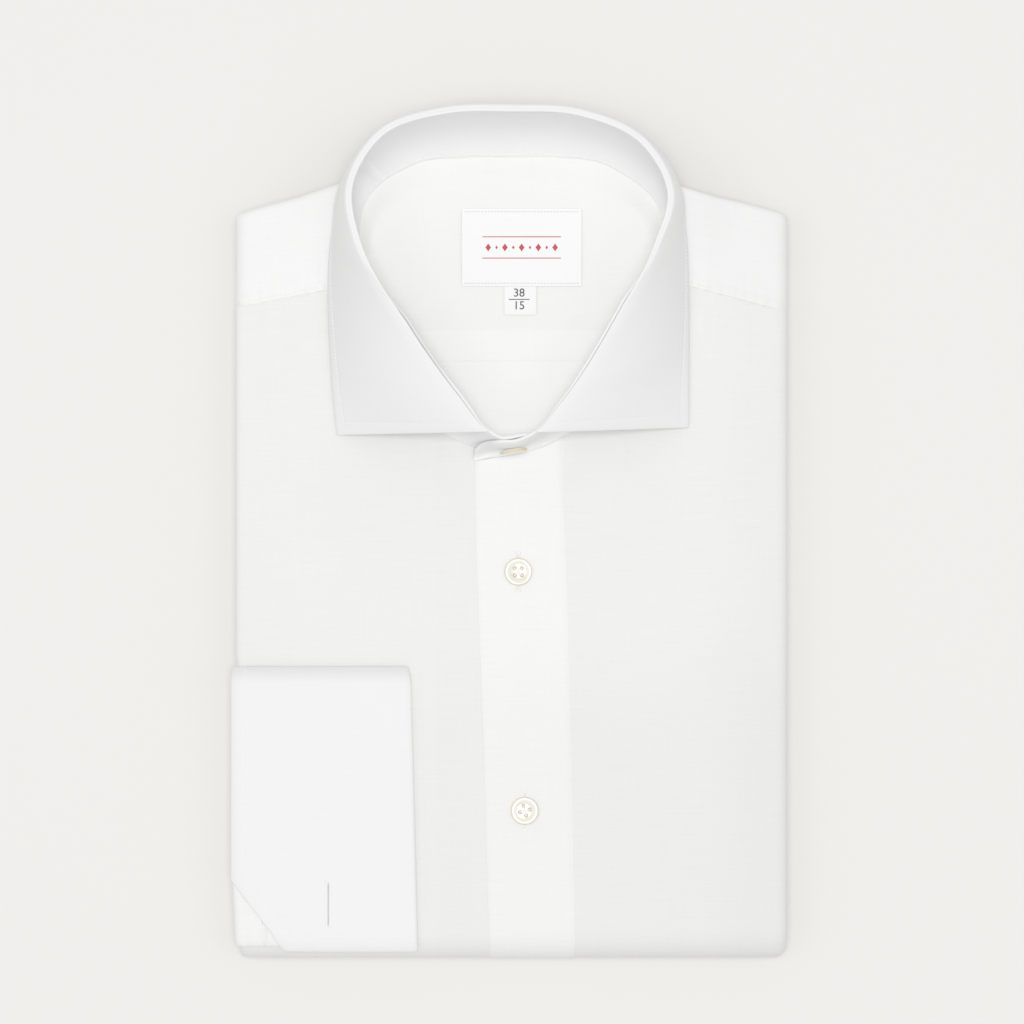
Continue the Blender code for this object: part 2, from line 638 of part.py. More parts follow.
def end_cap(start, count):
    """Strips between the upper and the lower points of an end loop, which starts at the centre line."""
    last = count // 2
    faces = []
    for k in range(last // 2):
        faces.append((start + k, start + k + 1, start + last - k - 1, start + last - k))
        other = [(count - i) % count for i in (k, k + 1, last - k - 1, last - k)]
        faces.append(tuple(start + i for i in other))
    return [tuple(dict.fromkeys(face)) for face in faces]


def layer_edge():
    """Outline of the folded edges that show between the upper and the lower half, short of the sleeve."""
    right = HALF_WIDTH - SIDE - 1.0
    top = SHOULDERS[np.abs(SHOULDERS[:, 0]) < 100.0][::-1] * np.array([0.97, 1.0]) - np.array([0.0, 8.0])
    low = [(-76.0, -150.0), (right, -150.0), (right, 114.0)]
    sleeve_side = [(-right, 116.0), (-right, -44.0), (-76.0, -44.0)]
    return [(float(x), float(y)) for x, y in (*low, *top, *sleeve_side)]


def neck_hollow():
    """Outline of the hollow under the neck: the neckline in front and open to the back."""
    front = [(float(x) * 1.035, float(y) - 0.5) for x, y in FRONT_NECK]
    return [(-62.5, 180.0), *front, (62.5, 180.0)]


def label(name, centre_x, centre_y, width, height):
    """A flat label on what shows inside the neck."""
    bottom = INSIDE_Z + WALL + GAP
    corner = np.array([(-0.5, -0.5), (0.5, -0.5), (0.5, 0.5), (-0.5, 0.5)]) * (width, height)
    low = np.column_stack([corner + (centre_x, centre_y), np.full(4, bottom)])
    points = np.concatenate([low, low + (0.0, 0.0, LABEL_WALL)])
    faces = [(0, 1, 2, 3), (4, 5, 6, 7)] + ring_faces(0, 4)
    return mesh_object(name, points, faces, (0.97, 0.97, 0.97), 0.7)


def frame_to(normal, up):
    """Three square unit vectors, the last along normal."""
    third = np.asarray(normal, float) / np.linalg.norm(normal)
    first = np.cross(np.asarray(up, float), third)
    first /= np.linalg.norm(first)
    return np.array([first, np.cross(third, first), third])


def button(name, centre, normal):
    """A four hole button with a raised rim, turned from its section. centre is the middle of its back."""
    axes = frame_to(normal, (0.0, 1.0, 0.2))
    count = 24
    around = np.linspace(0.0, 2 * math.pi, count + 1)[:-1]
    rows = [[(r * math.cos(a), r * math.sin(a), h) for a in around] for r, h in BUTTON_SECTION]
    points = np.array(rows).reshape(-1, 3)
    faces = []
    for r in range(len(rows) - 1):
        faces += ring_faces(r * count, count)
    made = mesh_object(name, points @ axes + centre, faces, (0.9, 0.88, 0.8), 0.25, 0.0)
    turn = np.linspace(0.0, 2 * math.pi, 9)[:-1]
    holes, sides = [], []
    for x in (-BUTTON_SPREAD, BUTTON_SPREAD):
        for y in (-BUTTON_SPREAD, BUTTON_SPREAD):
            start = len(holes)
            ring = [(x + BUTTON_HOLE * math.cos(a), y + BUTTON_HOLE * math.sin(a)) for a in turn]
            holes += [(*point, -1.0) for point in ring] + [(*point, 4.0) for point in ring]
            sides += [tuple(range(start, start + 8)), tuple(range(start + 8, start + 16))]
            sides += ring_faces(start, 8)
    cutter = mesh_object(name + "_holes", np.array(holes) @ axes + centre, sides, (0.5, 0.5, 0.5))
    boolean(made, cutter, "DIFFERENCE")
    return made


def buttons():
    """Two buttons on the placket and one on the stand, which it meets edge on from above."""
    for number, (x, y) in enumerate(FRONT_BUTTONS, 1):
        rise = THICK + PLACKET_LIFT + float(swell(x, np.array(y))) + GAP + 0.1
        button(f"front_button_{number}", np.array([x, y, rise]), (0.0, 0.0, 1.0))
    rows = stand_rows(np.linspace(17.3, 17.75, 10))
    spot, square = rows[2, 4], np.cross(rows[2, 5] - rows[2, 3], rows[3, 4] - rows[1, 4])
    square /= np.linalg.norm(square)
    if square[1] > 0:
        square = -square
    button("collar_button", spot + square * (COLLAR_WALL / 2 + GAP + 0.1), square)


def main():
    clear_scene()
    front_panel("front_right", -1)
    front_panel("front_left", 1)
    placket()
    yoke()
    yoke_lining()
    back_panel()
    collar_stand()
    collar_leaf()
    cuff_turned()
    cuff_under()
    sleeve()
    folded_layers()
    label("neck_label", *NECK_LABEL)
    label("size_label", *SIZE_LABEL)
    buttons()


main()
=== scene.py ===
# %% [markdown]
# # A dress shirt folded for the shelf
#
# A pressed and folded shirt is a stack of thin sheets: two fronts and a placket wrapped round the hidden layers, a
# yoke over the shoulders, a standing collar, and one cuff brought round to the front. Every sheet here is one thin
# closed shell, worked out on a grid of cloth coordinates, so that the weave, the creases and the stitches all follow
# the cloth. Sizes are in millimetres and become metres where a mesh is made.

import math

import bpy
import numpy as np
from mathutils import Matrix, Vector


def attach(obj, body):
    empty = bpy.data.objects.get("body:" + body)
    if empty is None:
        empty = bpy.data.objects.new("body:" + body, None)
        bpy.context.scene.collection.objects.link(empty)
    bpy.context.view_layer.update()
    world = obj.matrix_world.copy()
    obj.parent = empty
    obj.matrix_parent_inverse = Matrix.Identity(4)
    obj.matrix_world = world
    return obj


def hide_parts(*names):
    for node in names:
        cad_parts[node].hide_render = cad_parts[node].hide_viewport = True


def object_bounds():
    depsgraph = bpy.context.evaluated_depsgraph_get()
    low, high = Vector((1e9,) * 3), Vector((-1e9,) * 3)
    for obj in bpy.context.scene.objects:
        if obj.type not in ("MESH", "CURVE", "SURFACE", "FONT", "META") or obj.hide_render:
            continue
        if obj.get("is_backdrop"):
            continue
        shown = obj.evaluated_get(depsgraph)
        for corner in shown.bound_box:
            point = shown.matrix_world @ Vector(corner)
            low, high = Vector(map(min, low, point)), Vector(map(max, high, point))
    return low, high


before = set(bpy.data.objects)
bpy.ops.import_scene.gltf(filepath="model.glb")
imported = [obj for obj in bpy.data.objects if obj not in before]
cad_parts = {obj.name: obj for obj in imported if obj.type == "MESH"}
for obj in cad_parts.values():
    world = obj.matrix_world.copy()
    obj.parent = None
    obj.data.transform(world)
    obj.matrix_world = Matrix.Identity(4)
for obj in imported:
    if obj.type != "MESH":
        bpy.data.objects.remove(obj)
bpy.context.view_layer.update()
print("nodes:", ", ".join(sorted(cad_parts)))

# %% [markdown]
# ## Sizes
#
# The sizes come from the solids: the package, its fold radii, and short tables for the outlines that are not
# straight. Working from the same names keeps every sheet near its solid. A few places are drawn finer here than in
# the solids, because they are what the eye rests on: both ends of the shoulder line, the front of the neckline, the
# placket's upper end, the collar's front stations, the two front edges of the leaf, the cuff's free edge and the
# taper of the left side.

# %% Sizes of the folded body
MM = 0.001  # a millimetre in metres
HALF_WIDTH = 108.9  # centre line to side fold
THICK = 24.0  # whole package, table to front
FOLD = THICK / 2  # radius of the bottom fold
SIDE = 5.5  # radius of a side fold
TURN = 20.0  # cloth turned under beyond a side fold
AXIS_Y = -155.4  # axis of the bottom fold
HEM_Y = 106.0  # end of the tail on the underside
WALL = 1.0  # shirt cloth in the solids, and the two fronts here
GAP = 0.3  # between neighbouring pieces
SWELL = 0.2  # soft unevenness of the pressed front
LINED = 1.4  # cuff
COLLAR_WALL = 1.2  # stand, leaf and sleeve
FLAT = HALF_WIDTH - SIDE  # where the side fold begins to turn
SIDE_END = FLAT + math.pi * SIDE  # and where it has turned under
TAPER = 1.3  # how far the left side runs in at its lower corner

SHOULDERS = np.array([  # x, y
    (-108.9, 126.4), (-107.6, 127.3), (-102.0, 129.0), (-83.5, 134.1), (-66.0, 139.5), (-50.0, 147.6), (-28.0, 152.6),
    (0.0, 153.6), (28.0, 152.6), (50.0, 147.2), (66.0, 138.2), (82.0, 133.8), (98.0, 129.8),
    (105.0, 128.0), (107.6, 126.8), (108.9, 125.2),
])
YOKE_SEAM = np.array([  # x, y
    (-110.0, 90.0), (-74.0, 96.9), (-60.0, 99.6), (60.0, 100.4), (70.3, 98.7), (110.0, 88.2),
])
FRONT_NECK = np.array([  # x, y
    (-60.4, 99.0), (-58.8, 98.0), (-56.0, 89.0), (-50.5, 71.0), (-41.5, 54.0), (-29.0, 43.0), (-17.0, 36.2),
    (-8.0, 33.4), (2.0, 32.4), (11.0, 34.6), (19.0, 38.8), (28.0, 44.2), (41.5, 55.0), (50.5, 71.0),
    (56.0, 89.0), (58.8, 98.0), (60.4, 99.0),
])
BACK_NECK = np.array([  # x, y
    (-60.6, 118.0), (-57.5, 132.0), (-48.5, 142.4), (-33.0, 148.0), (-15.0, 149.8), (15.0, 149.8),
    (33.0, 148.0), (48.5, 141.0), (57.5, 131.0), (60.6, 118.0),
])
PLACKET = np.array([  # y, left edge, right edge
    (-166.0, -8.5, 25.0), (-128.0, -9.6, 24.2), (-88.0, -10.8, 23.4), (-41.0, -12.4, 22.1),
    (-10.0, -13.6, 21.0), (6.0, -14.0, 20.1), (36.0, -14.4, 20.5),
])
PLACKET_LIFT = 0.4  # placket above the front beside it
RECESS = WALL + GAP  # right front pressed down below the placket

# %% Sizes of the collar, the cuff and the small pieces
COLLAR = np.array([
    # fold x, y, z, then seam x, y, z: one station a row, from the inner end round the neck to the lap's free end
    (6.0, 37.9, 50.0, 6.0, 35.4, 24.4),
    (-4.6, 36.8, 51.0, -7.4, 34.2, 24.4),
    (-12.0, 41.0, 51.6, -17.0, 36.4, 24.4),
    (-23.1, 54.0, 53.0, -29.5, 43.2, 24.4),
    (-45.0, 85.7, 56.5, -51.0, 71.0, 24.5),
    (-60.2, 114.5, 59.0, -60.6, 108.0, 24.5),
    (-63.0, 134.0, 58.5, -58.0, 131.0, 24.2),
    (-49.8, 156.4, 56.0, -38.5, 146.8, 21.2),
    (-26.0, 164.6, 54.5, -18.5, 149.6, 20.9),
    (0.0, 165.6, 54.0, 0.0, 149.8, 20.9),
    (26.0, 164.0, 54.5, 19.0, 149.6, 20.9),
    (51.2, 152.4, 56.0, 39.5, 145.6, 21.2),
    (61.8, 132.0, 58.5, 57.6, 130.6, 24.2),
    (56.4, 111.6, 59.0, 60.4, 108.0, 24.5),
    (43.0, 85.2, 56.5, 51.0, 71.5, 24.5),
    (20.6, 50.4, 52.5, 27.6, 44.4, 24.4),
    (9.4, 38.4, 51.2, 12.4, 35.6, 24.7),
    (1.6, 35.3, 50.8, 3.0, 33.0, 24.8),
    (-4.6, 35.1, 49.4, -4.5, 31.7, 24.8),
    (-11.0, 34.7, 37.2, -10.0, 30.9, 24.8),
    (-13.6, 33.2, 31.6, -14.4, 29.9, 24.8),
])
LEAF = np.array([
    # station of the collar, then x, y, z of the leaf's outer edge there
    (2.75, -68.3, 40.0, 25.3), (4.0, -70.4, 63.0, 25.5), (5.0, -71.8, 97.0, 25.7), (6.0, -70.2, 119.5, 25.7),
    (6.9, -66.8, 138.5, 24.6), (7.5, -60.5, 151.0, 17.5), (8.1, -49.0, 159.5, 13.5), (9.0, -27.0, 164.6, 12.2),
    (10.0, 0.0, 165.6, 12.0), (11.0, 27.0, 164.0, 12.2), (11.9, 49.5, 157.4, 13.5), (12.5, 60.0, 149.5, 17.5),
    (13.1, 65.8, 137.5, 24.6), (14.0, 68.2, 119.5, 25.7), (15.0, 69.4, 97.0, 25.7), (16.0, 69.4, 63.0, 25.5),
    (16.88, 69.3, 42.9, 25.3),
])
LEAF_START, LEAF_END = LEAF[0, 0], LEAF[-1, 0]
BELLY = 2.6  # how far the leaf bows out between its fold and its edge
START = math.radians(12.0)  # how far inside the top of the fold the leaf is sewn on

CUFF_TOP_Y = -51.8
CUFF_END_ALONG = -6.6  # just round the bottom fold
CUFF_OUT = -110.0  # its free edge, across
CUFF_FOLD_TOP = -39.6  # its turned fold, x at the top
CUFF_FOLD_END = -36.9  # and at the end
CUFF_CORNER = (20.5, 26.5)  # corner cut off its free end: across, along
SLEEVE_START = -104.9
SLEEVE_TUCK = 21.0  # sleeve tucked between the body's layers

INSIDE_Z = 19.3  # underside of the yoke lining and of the back
YOKE_INSIDE_Y = 69.6  # seam of the yoke lining on the back
YOKE_INSIDE_HALF = 49.4  # half the length of that seam
NECK_LABEL = (4.0, 113.7, 47.0, 30.4)  # middle x, middle y, width, height
SIZE_LABEL = (3.5, 92.7, 12.4, 11.0)
LABEL_WALL = 0.6
FRONT_BUTTONS = ((2.6, -14.3), (5.3, -108.4))  # x, y

# %% [markdown]
# ## Cloth coordinates
#
# Pressed cloth bends but does not stretch. So each sheet on the body is drawn flat first, by how far a point lies
# across the cloth and along it, and one function wraps it round the side folds and the bottom fold. A third number,
# the lift, takes it out from the body's face: that is where creases, seams and the thickness come in.

# %% Wrap flat cloth round the body
def ease(value, start, end):
    """0 before start, 1 after end and a soft step between: t * t * (3 - 2 t)."""
    t = np.clip((value - start) / (end - start), 0.0, 1.0)
    return t * t * (3 - 2 * t)


def unit(vectors):
    """Vectors divided by their own length."""
    return vectors / np.maximum(np.linalg.norm(vectors, axis=-1, keepdims=True), 1e-9)


def bell(distance, width):
    """A soft bump, 1 in the middle: exp(-(distance / width) squared)."""
    return np.exp(-((distance / width) ** 2))


def line_table(table, at, column=1):
    """One column of a table at positions along its first column, by straight pieces."""
    return np.interp(at, table[:, 0], table[:, column])


def smooth_table(table, at):
    """A table's other columns at positions along its first column, through every row, by cubic pieces."""
    knots, values = table[:, 0], table[:, 1:]
    slopes = np.gradient(values, knots, axis=0)
    at = np.clip(at, knots[0], knots[-1])
    i = np.clip(np.searchsorted(knots, at, side="right") - 1, 0, len(knots) - 2)
    width = (knots[i + 1] - knots[i])[..., None]
    f = (at - knots[i])[..., None] / width
    ends = values[i] * (2 * f**3 - 3 * f**2 + 1) + values[i + 1] * (3 * f**2 - 2 * f**3)
    return ends + slopes[i] * width * (f**3 - 2 * f**2 + f) + slopes[i + 1] * width * (f**3 - f**2)


def squared(turn, power):
    """Sine and cosine of a turn on a rounded square: both divided by (|sin|^p + |cos|^p)^(1/p), a circle at p = 2."""
    sine, cosine = np.sin(turn), np.cos(turn)
    size = (np.abs(sine) ** power + np.abs(cosine) ** power) ** (1 / power)
    return sine / size, cosine / size


def body(across, along, lift, taper=TAPER):
    """Points on the folded body from cloth coordinates, with x, y, z on the last axis. Round a fold of radius R the
    point turns by distance / R, and the lift adds to the radius. The left fold is pressed sharper than the right one
    and runs in a little towards its lower corner."""
    across, along, lift = np.broadcast_arrays(*(np.asarray(v, float) for v in (across, along, lift)))
    side, reach = np.sign(across), np.abs(across)
    turn = np.clip((reach - FLAT) / SIDE, 0.0, math.pi)
    rest = np.maximum(reach - SIDE_END, 0.0)
    sine, cosine = squared(turn, np.where(side < 0, 4.5, 2.4))
    x = side * (np.minimum(reach, FLAT) + (SIDE + lift) * sine - rest)
    x = x + taper * (side < 0) * ease(-along, -28.0, 8.0) * ease(reach, 80.0, FLAT)
    out = lift * cosine - SIDE * (1 - cosine)
    round_fold = np.clip(-along / FOLD, 0.0, math.pi)
    under = np.maximum(-along - math.pi * FOLD, 0.0)
    y = AXIS_Y + np.maximum(along, 0.0) - (FOLD + out) * np.sin(round_fold) + under
    z = FOLD + (FOLD + out) * np.cos(round_fold)
    return np.stack([x, y, z], axis=-1)


def on_front(along):
    """Height y of a distance along the front, held at the fold beyond it."""
    return AXIS_Y + np.maximum(along, -8.0)


# %% [markdown]
# ## Creases and puckers
#
# Pressing leaves the fronts nearly flat, so what shows is slight: a long soft swell, a few fold lines, a hollow where
# the cuff presses in, and puckers that run away from each seam. Each fold line is a row in a short table, because
# real creases are uneven and a noise pattern alone looks like crumpled paper.

# %% Relief of the pressed cloth
def fold_lines(table, x, y):
    """Sum of soft folds. A row holds the two ends, the bow of the line between them, the half width and the height,
    which is negative for a trough: height * bell(distance to the line) * the square root of a sine arch."""
    total = np.zeros(np.broadcast(x, y).shape)
    for x0, y0, x1, y1, bow, width, height in table:
        length = math.hypot(x1 - x0, y1 - y0)
        share = ((x - x0) * (x1 - x0) + (y - y0) * (y1 - y0)) / length**2
        inside = np.clip(share, 0.0, 1.0)
        away = ((x - x0) * (y1 - y0) - (y - y0) * (x1 - x0)) / length - bow * 4 * inside * (1 - inside)
        total += height * bell(away, width) * np.sqrt(np.sin(math.pi * inside))
    return total


def pressed(x, y):
    """Long soft unevenness of pressed cotton: a few crossed sine waves, 60 to 260 mm long and under 0.3 mm high."""
    slow = np.sin(x / 27.0 + 0.8) * np.sin(y / 41.0 + 0.4)
    small = np.sin(x / 11.0 + y / 23.0 + 1.0) * np.sin(y / 15.0 - x / 37.0)
    return SWELL * slow + 0.07 * small


FRONT_FOLDS = (
    # x0, y0, x1, y1, bow, width, height
    (-70.0, 96.0, -64.0, 78.0, 1.0, 1.6, 0.35),
    (-84.0, 94.0, -80.0, 82.0, -0.8, 1.8, -0.30),
    (-96.0, 92.0, -97.0, 76.0, 0.8, 2.2, 0.28),
    (-76.0, 95.0, -75.0, 60.0, 1.5, 4.0, -0.22),
    (78.0, 95.0, 80.0, 70.0, 1.0, 3.0, -0.22),
    (92.0, 92.0, 90.0, 78.0, -0.6, 2.0, 0.22),
    (-26.0, 30.0, -22.0, -150.0, -4.0, 9.0, -0.45),
    (30.0, 30.0, 31.0, -150.0, 1.5, 7.0, -0.28),
    (-96.0, 40.0, -30.0, 5.0, 5.0, 14.0, 0.30),
    (-60.0, 30.0, -90.0, -40.0, -4.0, 12.0, -0.25),
    (40.0, 20.0, 98.0, -30.0, 6.0, 16.0, 0.32),
    (96.0, 30.0, 84.0, -90.0, 3.0, 11.0, -0.35),
    (50.0, -60.0, 92.0, -140.0, -5.0, 13.0, 0.28),
    (62.0, 44.0, 100.0, 52.0, -2.0, 6.0, -0.20),
    (-100.0, 60.0, -62.0, 44.0, 3.0, 7.0, 0.22),
    (24.0, -128.0, 100.0, -146.0, 2.0, 5.0, -0.22),
)
TAIL_FOLDS = (
    (-80.0, 60.0, 70.0, 40.0, 5.0, 6.0, -0.35),
    (-60.0, -60.0, 80.0, -20.0, -6.0, 8.0, -0.35),
    (-90.0, -110.0, -20.0, -80.0, 4.0, 6.0, -0.30),
    (20.0, -120.0, 96.0, -90.0, -3.0, 7.0, -0.35),
    (-70.0, 20.0, -64.0, -90.0, 2.0, 7.0, -0.30),
    (72.0, 90.0, 66.0, -40.0, -3.0, 8.0, -0.30),
)


def seam_pucker(x, away, pitch, reach, height):
    """Small ripples that leave a seam square to it: height * a sine of x with an uneven pitch, fading with the
    distance away from the seam."""
    phase = x / pitch * 2 * math.pi + 1.3 * np.sin(x / 7.0) + 0.8 * np.sin(x / 3.1 + 1.0)
    return height * np.sin(phase) * bell(away, reach)


# %% [markdown]
# ## From grid to shell
#
# A sheet of cloth has a face, a back and an edge. The shell helper takes two grids of points, turns the back over and
# joins the two round the border with a half-round rim, which reads as a pressed edge instead of a knife cut. The UV
# map called cloth holds the flat cloth coordinates in metres, so the weave runs with the threads.

# %% Mesh helpers
def make_object(name, points, faces, cloth=None, smooth=True):
    """A mesh object from points in millimetres. cloth holds a flat coordinate in millimetres for each point."""
    mesh = bpy.data.meshes.new(name)
    mesh.from_pydata((points * MM).tolist(), [], faces if isinstance(faces, list) else faces.tolist())
    mesh.polygons.foreach_set("use_smooth", np.full(len(mesh.polygons), smooth))
    if cloth is not None:
        corner = np.empty(len(mesh.loops), np.int32)
        mesh.loops.foreach_get("vertex_index", corner)
        layer = mesh.uv_layers.new(name="cloth")
        layer.data.foreach_set("uv", (cloth[corner] * MM).astype(np.float32).ravel())
    mesh.update()
    made = bpy.data.objects.new(name, mesh)
    bpy.context.scene.collection.objects.link(made)
    return made


def grid_quads(number):
    """Faces between neighbouring rows and columns of point numbers."""
    return np.stack([number[:-1, :-1], number[:-1, 1:], number[1:, 1:], number[1:, :-1]], -1).reshape(-1, 4)


def shell(name, outer, inner, cloth, rim=0.85):
    """Closed shell between two grids. The rim is three rings on a half circle between the borders, rim times as deep
    as it is high."""
    rows, columns = outer.shape[:2]
    number = np.arange(rows * columns).reshape(rows, columns)
    border = np.concatenate([number[0, :-1], number[:-1, -1], number[-1, :0:-1], number[:0:-1, 0]])
    r, c = border // columns, border % columns
    inward = np.clip(r, 1, rows - 2) * columns + np.clip(c, 1, columns - 2)
    face, back = outer.reshape(-1, 3), inner.reshape(-1, 3)
    middle = (face[border] + back[border]) / 2
    step = face[border] - face[inward] + back[border] - back[inward]
    half = face[border] - middle
    length = np.linalg.norm(step, axis=1, keepdims=True)
    step = step / np.maximum(length, 1e-6) * np.linalg.norm(half, axis=1, keepdims=True) * rim
    rings = [middle + half * math.cos(a) + step * math.sin(a) for a in np.radians([45.0, 90.0, 135.0])]
    size = rows * columns
    count = len(border)
    ahead = np.roll(np.arange(count), -1)
    edges = [border, *(2 * size + k * count + np.arange(count) for k in range(3)), size + border]
    faces = [grid_quads(number), grid_quads(number + size)[:, ::-1]]
    for first, second in zip(edges[:-1], edges[1:]):
        faces.append(np.stack([first[ahead], first, second, second[ahead]], -1))
    faces = np.concatenate(faces)
    points = np.concatenate([face, back, *rings])
    a, b, d = (points[faces[:, k]] for k in (0, 1, 2))
    if np.einsum("ij,ij->i", a, np.cross(b, d)).sum() < 0:
        faces = faces[:, ::-1]
    flat = cloth.reshape(-1, 2)
    return make_object(name, points, faces, np.concatenate([flat, flat, flat[border], flat[border], flat[border]]))


def cloth_grid(across, along):
    """Flat coordinates of a grid, for the UV map."""
    return np.stack(np.broadcast_arrays(across, along), axis=-1)


def square_to(grid):
    """Unit vectors square to a grid: the cross product of its two directions."""
    return unit(np.cross(np.gradient(grid, axis=0), np.gradient(grid, axis=1)))


def thicken(grid, wall):
    """Two faces of a sheet from its middle face: each point goes half the wall to either side."""
    square = square_to(grid)
    return grid + square * wall / 2, grid - square * wall / 2


# %% [markdown]
# ## Materials
#
# White cotton is never one white. A doubled or fused layer is whiter than a single one, and fused cloth is a little
# cooler. So one recipe makes every cotton from a colour and a weave size: fine crossed threads as bump, uneven weft
# threads as faint streaks, and slow clouds in the tone. Some whites and tone bands also hold painted light and shade:
# where the light falls off across the package, in and round the neck, on the cuff and on the buttons. Shell buttons
# are the only glossy thing on the shirt.

# %% Node helpers
def new_material(name, roughness, specular, colour):
    """A material with its Principled shader, with what does not vary set on the shader itself."""
    made = bpy.data.materials.new(name)
    made.use_nodes = True
    tree = made.node_tree
    finish = tree.nodes["Principled BSDF"]
    finish.inputs["Base Color"].default_value = (*colour, 1.0)
    finish.inputs["Roughness"].default_value = roughness
    finish.inputs["Specular IOR Level"].default_value = specular
    made.diffuse_color = (*colour, 1.0)
    return made, tree, finish


def link(tree, first, output, second, socket):
    """Joins an output of one node to a socket of another."""
    tree.links.new(first.outputs[output], second.inputs[socket])


def math_node(tree, operation, first, second):
    """A Math node. Each side is a number or a (node, output) pair."""
    node = tree.nodes.new("ShaderNodeMath")
    node.operation = operation
    for socket, value in enumerate((first, second)):
        if isinstance(value, tuple):
            link(tree, value[0], value[1], node, socket)
        else:
            node.inputs[socket].default_value = value
    return node


def scaled(tree, source, output, scale):
    """Coordinates times three numbers."""
    node = tree.nodes.new("ShaderNodeMapping")
    node.inputs["Scale"].default_value = scale
    link(tree, source, output, node, "Vector")
    return node


def noise(tree, source, detail):
    """Noise on coordinates that a Mapping node has already scaled."""
    node = tree.nodes.new("ShaderNodeTexNoise")
    node.inputs["Scale"].default_value = 1.0
    node.inputs["Detail"].default_value = detail
    link(tree, source, "Vector", node, "Vector")
    return node


def threads(tree, source, pitch, direction):
    """Parallel threads: a sine across them. The texture's own period is 2 pi / 20 of its coordinate."""
    node = tree.nodes.new("ShaderNodeTexWave")
    node.wave_type = "BANDS"
    node.bands_direction = direction
    node.inputs["Scale"].default_value = 2 * math.pi / 20 / pitch
    node.inputs["Distortion"].default_value = 0.4
    node.inputs["Detail"].default_value = 1.0
    node.inputs["Detail Scale"].default_value = 0.3
    link(tree, source, "UV", node, "Vector")
    return node


def cotton(name, colour, pitch=0.00034, weave=0.35, streak=0.035, sheen=0.15, bands=()):
    """Plain weave cotton. Tone = colour * (1 +- streak, by the unevenness of weft, warp and slow clouds) * each band;
    bump = crossed threads plus the same unevenness. A band (axis, start, end, before, after) eases a factor from one
    value to the other between two lengths on the cloth, in metres: for more layers below, or a fall in the light."""
    made, tree, finish = new_material(name, 0.82, 0.25, colour)
    finish.inputs["Sheen Weight"].default_value = sheen
    finish.inputs["Sheen Roughness"].default_value = 0.45
    uv = tree.nodes.new("ShaderNodeUVMap")
    uv.uv_map = "cloth"
    weft = noise(tree, scaled(tree, uv, "UV", (60.0, 1100.0, 1.0)), 3.0)
    warp = noise(tree, scaled(tree, uv, "UV", (900.0, 45.0, 1.0)), 2.0)
    clouds = noise(tree, scaled(tree, uv, "UV", (22.0, 15.0, 1.0)), 2.0)
    uneven = math_node(tree, "ADD", (weft, 0), (math_node(tree, "MULTIPLY", (warp, 0), 0.5), 0))
    mixed = math_node(tree, "ADD", (uneven, 0), (math_node(tree, "MULTIPLY", (clouds, 0), 0.5), 0))
    tone = tree.nodes.new("ShaderNodeMapRange")
    tone.inputs["From Min"].default_value = 0.55
    tone.inputs["From Max"].default_value = 1.45
    tone.inputs["To Min"].default_value = 1.0
    tone.inputs["To Max"].default_value = 0.0
    link(tree, mixed, 0, tone, "Value")
    ramp = tree.nodes.new("ShaderNodeValToRGB")
    ramp.color_ramp.elements[0].color = (*(part * (1 - streak) for part in colour), 1.0)
    ramp.color_ramp.elements[1].color = (*(min(part * (1 + streak), 1.0) for part in colour), 1.0)
    link(tree, tone, 0, ramp, "Fac")
    last, output = ramp, "Color"
    split = tree.nodes.new("ShaderNodeSeparateXYZ")
    link(tree, uv, "UV", split, "Vector")
    for axis, start, end, before, after in bands:
        share = tree.nodes.new("ShaderNodeMapRange")
        share.interpolation_type = "SMOOTHSTEP"
        for socket, value in zip(("From Min", "From Max", "To Min", "To Max"), (start, end, before, after)):
            share.inputs[socket].default_value = value
        link(tree, split, axis, share, "Value")
        lighter = tree.nodes.new("ShaderNodeVectorMath")
        lighter.operation = "SCALE"
        link(tree, last, output, lighter, "Vector")
        link(tree, share, "Result", lighter, "Scale")
        last, output = lighter, "Vector"
    link(tree, last, output, finish, "Base Color")
    over = threads(tree, uv, pitch, "X")
    under = threads(tree, uv, pitch, "Y")
    crossed = math_node(tree, "MULTIPLY", (math_node(tree, "SUBTRACT", (over, "Fac"), 0.5), 0),
                        (math_node(tree, "SUBTRACT", (under, "Fac"), 0.5), 0))
    height = math_node(tree, "ADD", (math_node(tree, "MULTIPLY", (crossed, 0), 1.4), 0), (uneven, 0))
    bump = tree.nodes.new("ShaderNodeBump")
    bump.inputs["Strength"].default_value = weave
    bump.inputs["Distance"].default_value = 0.00007
    link(tree, height, 0, bump, "Height")
    link(tree, bump, "Normal", finish, "Normal")
    return made


# %% The finishes
FRONT_WHITE = (0.738, 0.738, 0.720)
YOKE_WHITE = (0.760, 0.760, 0.757)
PLACKET_WHITE = (0.806, 0.806, 0.788)
COLLAR_WHITE = (0.726, 0.726, 0.729)
CUFF_WHITE = (0.770, 0.770, 0.773)
STAND_WHITE = (0.800, 0.800, 0.803)
# Painted light: INSIDE_WHITE and BACK_WHITE, the lining and the back inside the neck, are set whiter than the fronts
# to stand in for the light that reaches into the neck's hollow.
INSIDE_WHITE = (0.792, 0.792, 0.775)
BESIDE_CUFF_WHITE = (0.732, 0.732, 0.714)
BACK_WHITE = (0.82, 0.82, 0.803)
SLEEVE_WHITE = (0.79, 0.79, 0.775)
TAPE_WHITE = (0.84, 0.84, 0.84)
# Painted shade: the light falls off towards the bottom fold, so this band makes the cloth up to 4.5 % darker there.
PAINTED_FALLOFF = ("Y", 0.066, 0.132, 0.955, 1.0)  # left front and placket get a little greyer towards the bottom fold
